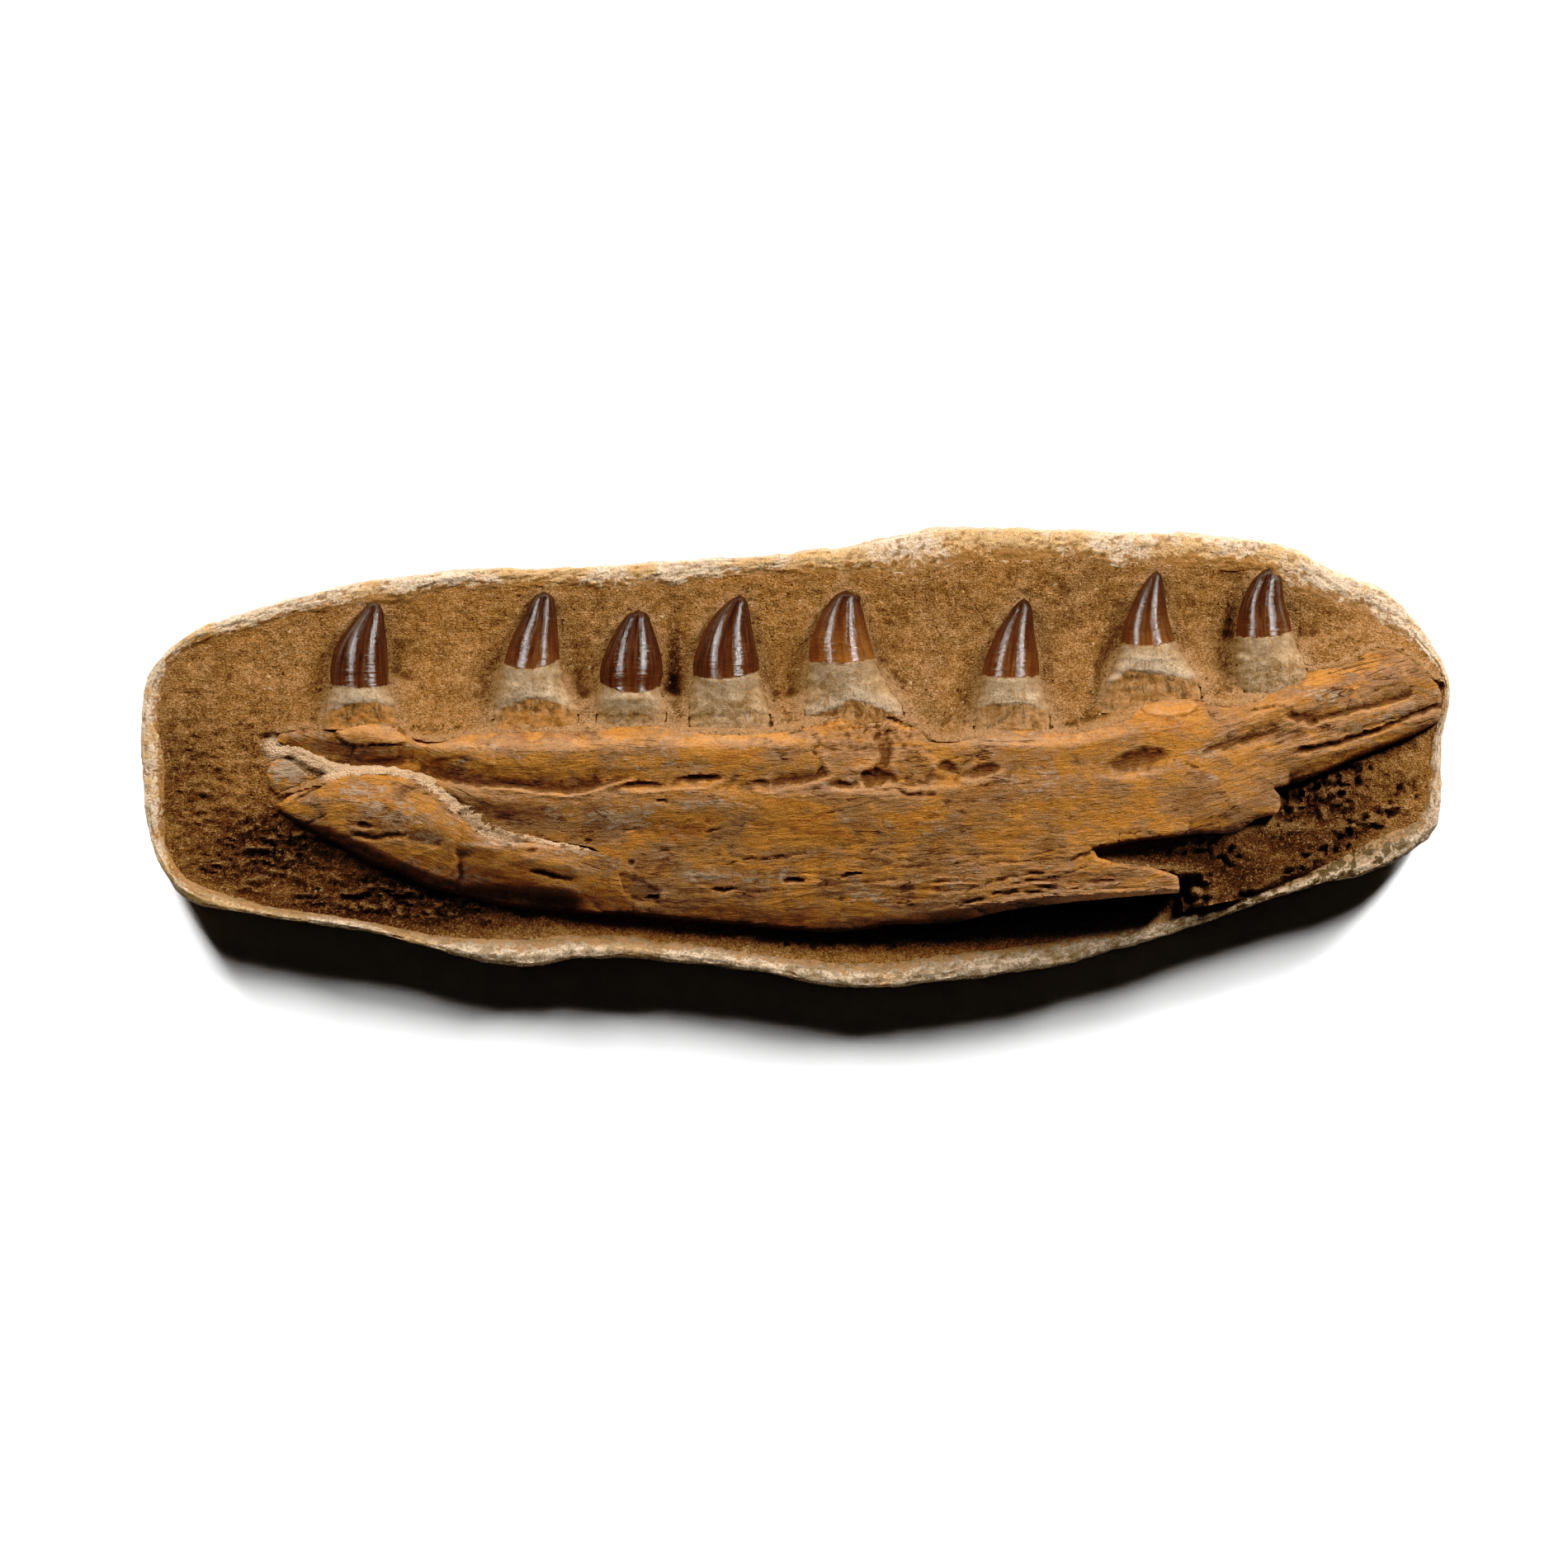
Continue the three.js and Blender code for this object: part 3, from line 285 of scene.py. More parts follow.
DENTARY_CRACKS = [
    ([(880, 1048), (893, 1043), (912, 1041), (935, 1040), (955, 1038), (962, 1034), (975, 1035)],
     1.3, 1),
    ([(800, 1031), (830, 1031), (860, 1032), (872, 1037)], 1.2, 0.7),
    ([(1048, 950), (1062, 956), (1080, 955), (1100, 963), (1118, 964), (1132, 961)], 2.2, 2.2),
    ([(1184, 948), (1190, 953), (1199, 956)], 1.2, 1.2),
    ([(1420, 921), (1436, 926), (1451, 932)], 1.1, 1),
    ([(1098, 991), (1118, 988), (1135, 990)], 1.4, 0.8),
    ([(996, 986), (1008, 984), (1022, 981)], 1.5, 1),
    ([(1034, 1037), (1045, 1040), (1058, 1031), (1064, 1028)], 1, 0.7),
    ([(1205, 1066), (1225, 1063), (1245, 1060), (1262, 1058)], 1.6, 1.5),
    ([(1232, 1070), (1262, 1066), (1300, 1056), (1318, 1048)], 1.4, 1.2),
    ([(1150, 1088), (1170, 1081), (1190, 1072), (1215, 1066)], 1.3, 1),
    ([(1165, 1097), (1185, 1090), (1205, 1083), (1235, 1081), (1262, 1079)], 1.8, 1.6),
    ([(1256, 1074), (1285, 1078), (1312, 1074)], 1.6, 1.5),
    ([(1296, 1042), (1312, 1036), (1326, 1031)], 2, 1.8),
    ([(1354, 1020), (1357, 1011), (1380, 1008), (1404, 1011)], 1.3, 1.4),
    ([(1001, 893), (993, 896), (990, 904), (984, 909), (990, 914)], 2.2, 1.8),
    ([(994, 918), (996, 928), (991, 936)], 1.4, 1.2),
    ([(1622, 815), (1627, 828), (1635, 835), (1634, 850), (1631, 862)], 0.9, 0.9),
    ([(1643, 820), (1640, 829), (1636, 836)], 0.9, 0.8),
    ([(1564, 857), (1574, 851), (1584, 846)], 1.2, 1),
    ([(1562, 852), (1572, 846), (1578, 844)], 1, 0.8),
    ([(418, 866), (434, 873), (452, 877)], 1.5, 1.3),
    ([(1516, 860), (1530, 859), (1544, 856), (1556, 858)], 1.6, 1.3),
    ([(1048, 1026), (1062, 1022), (1080, 1020)], 1, 0.5),
    ([(1158, 1048), (1172, 1043), (1184, 1040)], 1.3, 0.9),
    ([(600, 990), (640, 992), (670, 990)], 1.2, 0.5),
    ([(702, 1003), (740, 1006), (770, 1004)], 1.1, 0.5),
]
# Plates that stand proud of the bone or are broken out of it: outline, rise and edge width.
DENTARY_PLATES = [
    ([(407, 878), (418, 873), (440, 878), (478, 882), (494, 898), (478, 902), (433, 903),
      (415, 898), (408, 889)], 1.7, 0.9),
    ([(1381, 856), (1395, 847), (1420, 844), (1445, 848), (1451, 855), (1440, 864), (1415, 868),
      (1392, 865)], 1, 1.5),
    ([(410, 871), (424, 860), (445, 851), (468, 853), (480, 868), (484, 884), (440, 878),
      (418, 873)], 1, 2),
    ([(996, 914), (1012, 909), (1036, 908), (1054, 913), (1061, 924), (1052, 935), (1028, 937),
      (1004, 936), (996, 927)], 0.9, 2.5),
    ([(1062, 878), (1076, 886), (1080, 906), (1076, 930), (1086, 946), (1066, 948), (1056, 938),
      (1066, 918), (1060, 896)], -1.8, 4),
    ([(1044, 936), (1060, 930), (1080, 940), (1068, 952), (1050, 954)], -2, 2.5),
    ([(1085, 905), (1120, 908), (1138, 925), (1120, 945), (1090, 948), (1078, 930)], 1.2, 4),
    ([(519, 905), (560, 898), (600, 905), (600, 930), (560, 916), (524, 921)], 0.9, 2),
    ([(432, 904), (480, 903), (482, 918), (440, 922), (428, 914)], 0.8, 2),
    ([(752, 1058), (770, 1062), (800, 1080), (800, 1096), (770, 1092), (755, 1080)], -1.2, 3),
    ([(1180, 1100), (1262, 1088), (1330, 1084), (1425, 1078), (1430, 1095), (1205, 1116)], -1.6, 1.5),
]
# Where the fibres stand out more: middle, two half widths and gain.
DENTARY_FIBROUS = [
    (1270, 1070, 190, 36, 4.5), (1640, 890, 120, 34, 3.5), (1520, 885, 60, 45, 4),
    (1060, 885, 60, 30, 2.5), (1100, 1065, 150, 40, 2.8), (900, 1070, 110, 30, 2.2),
]
SPLENIAL_GROOVES = [
    ([(428, 1012), (455, 1016), (480, 1013), (502, 1011)], 4, 3, 1.6),
    ([(486, 1008), (510, 1017), (538, 1020)], 10, 7, 1.5),
    ([(556, 1034), (580, 1036), (610, 1042), (640, 1054), (670, 1061), (702, 1065)], 13, 9, 1),
    ([(352, 976), (368, 963), (392, 951)], 2, 2, 1.2),
]
SPLENIAL_LIPS = [
    ([(425, 1004), (440, 1007), (452, 1006)], 2.5, 0.8),
    ([(560, 1026), (590, 1026), (640, 1024), (700, 1030)], 5, 0.9),
]
SPLENIAL_PITS = [
    (441, 1000, 9, 3, 2, 0), (670, 1061, 26, 3.5, 1.8, 12), (645, 1031, 7, 3, 0.8, 0),
]
SPLENIAL_CRACKS = [
    ([(368, 1000), (385, 992), (402, 984)], 1.2, 0.9),
    ([(495, 1038), (513, 1034), (530, 1028)], 1.2, -0.7),
    ([(458, 1047), (462, 1040), (466, 1035)], 1.1, -0.6),
    ([(405, 975), (420, 972), (440, 968)], 1.2, 0.5),
    ([(548, 1022), (551, 1045), (549, 1065), (545, 1078)], 4, -0.8),
    ([(556, 1026), (558, 1050), (556, 1078)], 4, 0.7),
    ([(448, 952), (480, 950), (505, 958), (528, 970)], 1.6, 0.7),
]
SPLENIAL_FIBROUS = [(640, 1070, 100, 30, 0.8)]

# Hollows of the matrix: middle, two half widths and depth; the patches of painted shade have a turn and a
# strength.
MATRIX_HOLLOWS = [
    (482, 806, 22, 66, 5), (698, 815, 24, 70, 5.5), (815, 822, 17, 62, 7.5), (936, 800, 26, 70, 5),
    (962, 832, 20, 50, 5), (1080, 800, 30, 62, 4), (1172, 832, 24, 60, 5), (1270, 800, 22, 60, 3.5),
    (1342, 785, 20, 80, 6), (1432, 790, 20, 50, 3.5), (1490, 765, 18, 70, 6), (1578, 770, 20, 50, 3.5),
    (590, 800, 22, 62, 3), (392, 800, 20, 56, 2), (718, 800, 16, 50, 3),
]
MATRIX_PAINTED_SHADE = [
    (479, 800, 8, 46, 0, 0.5), (818, 806, 8, 66, 0, 1.5), (700, 820, 13, 44, 0, 0.7),
    (932, 820, 14, 44, 0, 0.6), (958, 812, 12, 50, 0, 0.6), (1076, 800, 16, 50, 0, 0.4),
    (1170, 850, 14, 46, 12, 0.7), (1345, 780, 9, 70, 18, 1), (1324, 850, 9, 30, 22, 0.8),
    (1490, 760, 10, 62, 6, 1), (1268, 790, 10, 50, 0, 0.4), (590, 815, 12, 46, 10, 0.5),
    (1296, 840, 16, 34, 0, 0.4), (392, 820, 14, 40, 0, 0.3), (1000, 760, 10, 30, -20, 0.3),
]
# Rough, broken ground: middle, two half widths, turn and strength. It is painted darker too, partly as
# its own colour, partly as painted shade of its slopes and clods.
MATRIX_ROUGH_AND_SHADE = [
    (330, 1030, 130, 66, 0, 1.1), (480, 1094, 170, 42, 0, 1.5), (1580, 985, 100, 70, 0, 1.3),
    (1450, 1060, 130, 50, 0, 1.3), (225, 940, 74, 110, 0, 0.65), (1690, 950, 50, 46, 0, 0.5),
    (320, 900, 60, 50, 0, 0.5), (1000, 1150, 500, 20, 0, 0.4),
]
# The matrix left in the seam between the two bones: x and y, half width and rise.
SEAM_FILL = [
    (334, 905, 12, -0.6), (352, 908, 9, -0.4), (372, 918, 8, -0.1), (398, 931, 7, 0.1),
    (416, 935, 6, 0.2), (440, 935, 5, 0.3), (474, 935, 5, 0.3), (500, 941, 6, 0.2), (524, 952, 11, 0.1),
    (546, 966, 15, 0.1), (564, 985, 17, 0.2), (582, 1003, 15, 0.4), (604, 1013, 12, 0.6),
    (640, 1018, 7, 0.8), (680, 1025, 6, 0.7), (714, 1031, 4, 0.1), (738, 1042, 3, -2),
    (748, 1064, 3, -3), (757, 1100, 3, -4),
]
SEAM_PATH = [(x, y) for x, y, _reach, _rise in SEAM_FILL]
SPLENIAL_JOIN = [(716, 1029), (742, 1038), (752, 1060), (760, 1084), (768, 1108)]
# Broken tips: the crown ends along this line.
TIP_BREAKS = {
    5: [(1000, 690), (1020, 714), (1029, 716), (1034, 721), (1042, 719)],
    8: [(1515, 680), (1538, 686), (1541, 693), (1546, 697), (1556, 697)],
}
# Each root below its fracture: how split it is, how dark the scar is, and how orange.
ROOT_WEAR = {
    1: (1, 0.5, 1), 2: (1, 0.6, 0.9), 3: (0.4, 0, 0.3), 4: (0.35, 0, 0.3),
    5: (1, 0.8, 0.4), 6: (0.8, 0.4, 0.5), 7: (0.9, 1, 0.6), 8: (0, 0, 0),
}
# Stains, and patches of painted shade among the dark ones: middle, two half widths, turn and strength.
PLASTER_OCHRE = [
    (640, 696, 70, 22, 0, 1), (820, 690, 50, 14, 0, 0.7), (1040, 676, 100, 22, 0, 1),
    (1230, 662, 110, 26, 0, 0.8), (1380, 668, 90, 14, 0, 0.9), (182, 930, 16, 110, 0, 0.8),
    (290, 1096, 110, 18, 0, 0.9), (450, 1128, 60, 10, 0, 0.5), (400, 722, 40, 10, 0, 0.5),
    (240, 770, 60, 20, 0, 0.4),
]
BONE_SMOOTH = [
    (447, 890, 44, 14, 4, 1.4), (650, 908, 130, 26, 0, 1), (850, 906, 120, 20, 0, 0.8),
    (560, 915, 36, 9, 0, 1), (1420, 960, 110, 34, -8, 0.5), (1414, 856, 34, 10, 0, 1),
    (470, 975, 110, 50, 10, 0.5), (760, 1010, 240, 60, 3, 0.5), (640, 1060, 110, 30, 8, 0.4),
]
DENTARY_PALE = [
    (560, 922, 16, 6, -10, 1), (575, 906, 30, 4, 0, 0.8), (785, 926, 42, 10, 0, 0.8),
    (845, 925, 26, 9, 0, 0.6), (765, 988, 60, 16, 0, 0.8), (835, 976, 30, 7, 0, 0.9),
    (880, 972, 26, 6, 0, 0.7), (850, 1060, 46, 8, 0, 0.8), (925, 1062, 34, 10, 0, 0.9),
    (1050, 1086, 26, 10, 0, 0.7), (1112, 1066, 16, 8, 0, 0.7), (1250, 948, 70, 30, 0, 0.6),
    (1455, 912, 34, 9, -15, 1), (1468, 943, 10, 5, 0, 1), (1606, 845, 30, 12, 0, 0.9),
    (1680, 866, 60, 10, -20, 0.9), (1230, 900, 30, 12, -20, 0.7), (1010, 950, 20, 10, 0, 0.4),
    (700, 990, 50, 14, 0, 0.6), (1120, 1000, 60, 14, 0, 0.5), (1160, 1068, 40, 12, 0, 0.6),
    (390, 892, 24, 6, 10, 0.8), (465, 912, 22, 6, 0, 0.9), (1060, 935, 26, 12, 0, 0.7),
    (935, 915, 20, 10, 0, 0.3), (1340, 1072, 70, 10, -5, 0.5), (810, 905, 60, 14, 0, 0.4),
]
DENTARY_ORANGE = [
    (445, 888, 38, 16, 5, 1.5), (440, 866, 26, 8, -10, 1.2), (560, 908, 36, 9, 0, 0.8),
    (1376, 946, 26, 10, -10, 1.3), (1450, 926, 30, 9, 10, 1.2), (1640, 815, 50, 12, -15, 1.1),
    (650, 925, 110, 20, 0, 0.8), (1142, 922, 22, 16, 20, 0.8), (1306, 890, 12, 7, -20, 1.4),
    (1268, 892, 30, 9, 0, 0.9),
    (1440, 886, 40, 12, -15, 0.4), (1414, 856, 34, 10, 0, 1.2), (1650, 828, 60, 22, -15, 0.4),
    (930, 890, 50, 10, 0, 0.8), (1240, 885, 40, 10, -10, 0.8), (1440, 1000, 60, 10, 0, 0.7),
    (1640, 912, 60, 8, -20, 0.6), (960, 1055, 60, 14, 0, 0.4), (900, 895, 120, 10, 0, 0.5),
    (1390, 945, 50, 12, 0, 0.5), (720, 900, 90, 10, 0, 0.6),
]
# Dark patches: partly darker bone, partly painted shade in the grooves, pits and cracks and along the
# lower edge.
DENTARY_DARK_AND_SHADE = [
    (640, 952, 60, 5, 2, 0.5), (840, 944, 26, 5, 0, 0.5),
    (920, 935, 20, 16, 0, 0.7), (975, 940, 34, 10, 0, 0.9), (1050, 940, 18, 12, 0, 0.8),
    (1170, 932, 34, 10, 0, 0.8), (1378, 920, 30, 12, -10, 0.9), (900, 1110, 160, 12, 4, 0.8),
    (1300, 920, 260, 56, -6, 0.42), (450, 890, 40, 14, 5, 0.3), (1505, 895, 26, 9, -10, 0.8),
    (1580, 868, 40, 9, 0, 0.8),
    (1000, 970, 60, 10, 0, 0.3), (1725, 825, 22, 26, 30, 0.6), (1062, 886, 60, 22, 0, 0.5),
    (1290, 1066, 90, 8, -6, 0.4), (760, 1000, 100, 8, 0, 0.3),
]
SPLENIAL_PALE = [
    (470, 975, 74, 20, 15, 0.8), (430, 966, 30, 8, 10, 0.6), (530, 1062, 34, 14, 10, 0.7),
    (512, 1014, 30, 9, 0, 0.9), (575, 1062, 32, 12, 0, 0.8), (500, 1050, 30, 12, 15, 0.7),
    (640, 1078, 50, 10, 5, 0.5), (480, 1008, 30, 6, 0, 0.6), (620, 1055, 30, 8, 10, 0.5),
    (380, 970, 16, 6, -20, 0.5), (685, 1053, 30, 6, 5, 0.5), (700, 1032, 40, 5, 8, 1),
    (610, 1023, 60, 4, 0, 1),
]
SPLENIAL_ORANGE = [
    (420, 1008, 40, 14, 25, 0.9), (380, 978, 40, 10, -10, 0.7), (468, 1034, 30, 12, 15, 0.9),
    (650, 1040, 60, 10, 8, 0.9), (500, 985, 30, 8, 10, 0.6), (720, 1060, 24, 18, 0, 0.7),
    (548, 1045, 6, 16, 0, 1),
]
# Dark patches: partly darker bone, partly painted shade in the grooves, pits and cracks and along the
# lower edge.
SPLENIAL_DARK_AND_SHADE = [
    (500, 1018, 40, 8, 0, 0.8), (600, 1046, 50, 6, 8, 0.7), (672, 1060, 30, 6, 8, 0.9),
    (560, 1050, 6, 30, 0, 0.6), (440, 1002, 14, 5, 0, 0.7), (640, 1092, 90, 10, 6, 0.9),
    (400, 1012, 50, 8, 35, 0.5), (560, 1032, 14, 8, 0, 0.7),
]
CHIP_PALE = [(350, 934, 30, 18, 0, 1.6)]
CHIP_ORANGE = [(350, 948, 20, 6, 0, 0.6)]
CHIP_DARK = [(330, 950, 8, 8, 0, 0.4)]

ROOT_BURIED = 14
ROOT_END_DEPTH = 6.5
ROOT_RISE = 3
ENAMEL_THICKNESS = 0.9
TOOTH_CELLS = (96, 140)
JACKET_CELLS = (1040, 84)
PLASTER_LAP = 8


def smooth(low, high, value):
    """0 below low, 1 above high, and a smooth step between them."""
    share = np.clip((value - low) / (high - low), 0, 1)
    return share * share * (3 - 2 * share)


def gradient_noise(x, y, seed):
    """Smooth noise between about -1 and 1, with lumps of about one unit."""
    random = np.random.default_rng(seed)
    table = random.permutation(256)
    turns = random.random(256) * 2 * np.pi
    cell_x, cell_y = np.floor(x).astype(int), np.floor(y).astype(int)
    in_x, in_y = x - cell_x, y - cell_y

    def corner(dx, dy):
        turn = turns[table[(table[(cell_x + dx) & 255] + cell_y + dy) & 255]]
        return np.cos(turn) * (in_x - dx) + np.sin(turn) * (in_y - dy)

    ease_x, ease_y = (t * t * t * (t * (t * 6 - 15) + 10) for t in (in_x, in_y))
    low = between(corner(0, 0), corner(1, 0), ease_x)
    high = between(corner(0, 1), corner(1, 1), ease_x)
    return 1.6 * between(low, high, ease_y)


def wander(x, y, wide, tall, seed):
    """Noise whose lumps are this wide and tall, in the units of x and y."""
    return gradient_noise(x / wide, y / tall, seed)


def lumps(x, y, size, seed, octaves=3, keep=0.5):
    """Layered noise whose largest lumps have this size, in the units of x and y."""
    total = 0
    for octave in range(octaves):
        finer = 2**octave / size
        total = total + keep**octave * gradient_noise(x * finer, y * finer, seed + octave)
    return total


def oval(x, y, middle_x, middle_y, half_x, half_y, turn=0):
    """Squared distance from an oval's middle, 1 at its edge; turn is in degrees."""
    cos, sin = math.cos(math.radians(turn)), math.sin(math.radians(turn))
    dx, dy = x - middle_x, y - middle_y
    return ((dx * cos + dy * sin) / half_x) ** 2 + ((dy * cos - dx * sin) / half_y) ** 2


def between(first, second, share):
    """The first value where the share is 0 and the second where it is 1."""
    return first * (1 - share) + second * share


def patches(x, y, ovals):
    """The highest of several soft oval patches, each (middle, half widths, turn, strength)."""
    total = np.zeros_like(x)
    for middle_x, middle_y, half_x, half_y, turn, strength in ovals:
        spot = strength * np.exp(-oval(x, y, middle_x, middle_y, half_x, half_y, turn))
        total = np.maximum(total, spot)
    return total


def nearest(x, y, path, closed=False):
    """Distance to a path, and the nearest point on it."""
    points = list(path) + ([path[0]] if closed else [])
    best = np.full(x.shape, 1e9)
    best_x, best_y = np.zeros_like(x), np.zeros_like(y)
    for (ax, ay), (bx, by) in zip(points, points[1:]):
        run_x, run_y = bx - ax, by - ay
        share = ((x - ax) * run_x + (y - ay) * run_y) / (run_x**2 + run_y**2)
        share = np.clip(share, 0, 1)
        near_x, near_y = ax + share * run_x, ay + share * run_y
        away = np.hypot(x - near_x, y - near_y)
        closer = away < best
        best = np.where(closer, away, best)
        best_x = np.where(closer, near_x, best_x)
        best_y = np.where(closer, near_y, best_y)
    return best, best_x, best_y


def inside(x, y, outline):
    """True where a point lies inside an outline."""
    within = np.zeros(x.shape, bool)
    for (ax, ay), (bx, by) in zip(outline, outline[1:] + outline[:1]):
        if ay != by:
            crosses = (ay > y) != (by > y)
            within ^= crosses & (x < ax + (y - ay) * (bx - ax) / (by - ay))
    return within


def edge_distance(x, y, outline):
    """Distance to an outline, below 0 inside it."""
    away = nearest(x, y, outline, closed=True)[0]
    return np.where(inside(x, y, outline), -away, away)


def cubic(t, span, start, end, start_slope, end_slope):
    """A curve from start to end with these slopes there, at share t of the span."""
    return (
        start * (1 + 2 * t) * (1 - t) ** 2
        + end * t * t * (3 - 2 * t)
        + start_slope * span * t * (1 - t) ** 2
        - end_slope * span * t * t * (1 - t)
    )


def loft(lines, x, y):
    """Height of the surface through the feature lines: a monotone cubic from line to line."""
    tables = [np.array(line, float) for line in lines]
    places = np.stack([np.interp(x, t[:, 0], t[:, 1]) for t in tables])
    heights = np.stack([np.interp(x, t[:, 0], t[:, 2]) for t in tables])
    grades = np.diff(heights, axis=0) / np.diff(places, axis=0)
    product = grades[:-1] * grades[1:]
    total = grades[:-1] + grades[1:]
    bend = np.where(product > 0, 2 * product / np.where(total == 0, 1, total), 0)
    slopes = np.concatenate([grades[:1], bend, grades[-1:]])
    step = np.clip((y[None] >= places).sum(0) - 1, 0, len(lines) - 2)[None]

    def pick(values, shift=0):
        return np.take_along_axis(values, step + shift, 0)[0]

    span = pick(places, 1) - pick(places)
    share = np.clip((y - pick(places)) / span, 0, 1)
    return cubic(share, span, pick(heights), pick(heights, 1), pick(slopes), pick(slopes, 1))


def unsettled(x, y, seed):
    """The same places pushed about a little, so that a mark's edge isn't drawn with a ruler."""
    push_x = 2.6 * wander(x, y, 15, 13, seed) + 1.1 * wander(x, y, 5, 5, seed + 1)
    push_y = 2.0 * wander(x, y, 17, 13, seed + 2) + 0.9 * wander(x, y, 5, 5, seed + 3)
    return x + push_x, y + push_y


def ridge_line(away, width):
    """1 on a line and softly down to 0 within about twice this width of it."""
    return np.exp(-((away / width) ** 2))


def carve_grooves(x, y, grooves):
    """Depth of the lengthwise grooves: a gentle flank above the path and a steep one below."""
    total = np.zeros_like(x)
    x, y = unsettled(x, y, 311)
    waver = 1.2 * gradient_noise(x / 9, y * 0, 501)
    for path, above, below, depth in grooves:
        across = below_line(x, y, path) - waver
        reach = np.where(across < 0, above, below)
        start, end = path[0][0], path[-1][0]
        ends = smooth(start - 6, start + 10, x) * smooth(end + 6, end - 10, x)
        total = np.maximum(total, depth * ends * ridge_line(across, reach))
    return total


def raise_lips(x, y, lips):
    """Height of the narrow ridges."""
    total = np.zeros_like(x)
    for path, width, height in lips:
        total = np.maximum(total, height * ridge_line(nearest(x, y, path)[0], width))
    return total


def sink_pits(x, y, pits):
    """Depth of the oval pits, steepest at their upper edge."""
    total = np.zeros_like(x)
    x, y = unsettled(x, y, 321)
    for middle_x, middle_y, half_x, half_y, depth, turn in pits:
        spread = oval(x, y, middle_x, middle_y, half_x, half_y, turn)
        lean = np.clip((y - middle_y) / half_y, -1, 1.4)
        total = np.maximum(total, depth * smooth(1.6, 0, spread) * (1 - 0.35 * lean))
    return total


def open_cracks(x, y, cracks):
    """Depth of the cracks; a negative depth is a thin raised seam."""
    total = np.zeros_like(x)
    x, y = unsettled(x, y, 331)
    broken = 0.55 + 0.6 * np.clip(wander(x, y, 11, 11, 64), -0.7, 0.75)
    for path, width, depth in cracks:
        total = total + depth * broken * ridge_line(nearest(x, y, path)[0], width)
    return total


def lift_plates(x, y, plates):
    """Height of the plates, up or down, with a narrow broken edge."""
    total = np.zeros_like(x)
    ragged = 1.2 * wander(x, y, 6, 6, 88)
    for outline, rise, edge in plates:
        total = total + rise * smooth(edge, -edge, edge_distance(x, y, outline) + ragged)
    return total


def fibres(along, across, seed):
    """Fine ridges that run along the bone."""
    swayed = across + 2.2 * wander(along, across, 45, 14, seed)
    return wander(along, swayed, 70, 5.5, seed + 1) + 0.6 * wander(along, swayed, 32, 2.6, seed + 2)


def below_line(x, y, line):
    """How far a place lies below a line of the photograph, above 0 towards its lower edge."""
    points = np.array(line, float)
    return y - np.interp(x, points[:, 0], points[:, 1])


def dentary_grain(x, y):
    """Places along and across the dentary's fibres, in pixels."""
    return x, below_line(x, y, DENTARY_LINES[3])


def splenial_grain(x, y):
    """Places along and across the splenial's fibres, in pixels."""
    return x, below_line(x, y, SPLENIAL_LINES[1])


def chip_grain(x, y):
    return x, y


def fibrous(x, y, zones):
    """How strongly the fibres stand out."""
    gain = np.ones_like(x)
    for middle_x, middle_y, half_x, half_y, more in zones:
        gain = gain + more * np.exp(-oval(x, y, middle_x, middle_y, half_x, half_y))
    return gain


def bone_form(x, y, lines, seed):
    """The bone's large form, before its cracks and fibres."""
    return loft(lines, x, y) + 0.55 * lumps(x, y, 46, seed)


def skin(x, y, seed):
    """The fine pitting of old bone."""
    return 0.2 * lumps(x, y, 11, seed, 2) + 0.11 * wander(x, y, 3.4, 2.8, seed + 5)


def dentary_height(x, y):
    height = bone_form(x, y, DENTARY_LINES, 11) + skin(x, y, 15)
    height = height + 0.11 * fibrous(x, y, DENTARY_FIBROUS) * fibres(*dentary_grain(x, y), 21)
    spongy = np.exp(-oval(x, y, 1062, 884, 62, 26))
    height = height - spongy * (2.2 + 1.1 * lumps(x, y, 7, 31, 2))
    height = height + lift_plates(x, y, DENTARY_PLATES) + raise_lips(x, y, DENTARY_LIPS)
    height = height - carve_grooves(x, y, DENTARY_GROOVES) - sink_pits(x, y, DENTARY_PITS)
    return np.minimum(height - open_cracks(x, y, DENTARY_CRACKS), HIGHEST)


def splenial_height(x, y):
    """The splenial's surface, which runs into the dentary's at its right end."""
    height = bone_form(x, y, SPLENIAL_LINES, 12) + skin(x, y, 25)
    height = height + 0.11 * fibrous(x, y, SPLENIAL_FIBROUS) * fibres(*splenial_grain(x, y), 22)
    height = height + raise_lips(x, y, SPLENIAL_LIPS) - sink_pits(x, y, SPLENIAL_PITS)
    height = height - carve_grooves(x, y, SPLENIAL_GROOVES)
    height = height - open_cracks(x, y, SPLENIAL_CRACKS)
    return between(height, dentary_height(x, y), smooth(690, 735, x))


def chip_height(x, y):
    return loft(CHIP_LINES, x, y) + 0.4 * lumps(x, y, 18, 13) + 0.15 * fibres(x, y, 23)


def tooth_profile(rows, tip, y):
    """Middle, half width and half depth of a tooth at photograph y, in pixels."""
    table = np.array(rows + [(tip[1], tip[0], tip[0])], float)[::-1]
    left, right = (catmull(y, table[:, 0], table[:, k]) for k in (1, 2))
    half = np.maximum((right - left) / 2, 0)
    most = TOOTH_HALF_DEPTH_MOST / PIXEL_MM
    return (left + right) / 2, half, np.minimum(half * TOOTH_DEPTH_SHARE, most)


def catmull(at, knots, values):
    """A smooth curve through values at rising knots."""
    slopes = np.gradient(values, knots)
    step = np.clip(np.searchsorted(knots, at) - 1, 0, len(knots) - 2)
    span = knots[step + 1] - knots[step]
    share = np.clip((at - knots[step]) / span, 0, 1)
    return cubic(share, span, values[step], values[step + 1], slopes[step], slopes[step + 1])


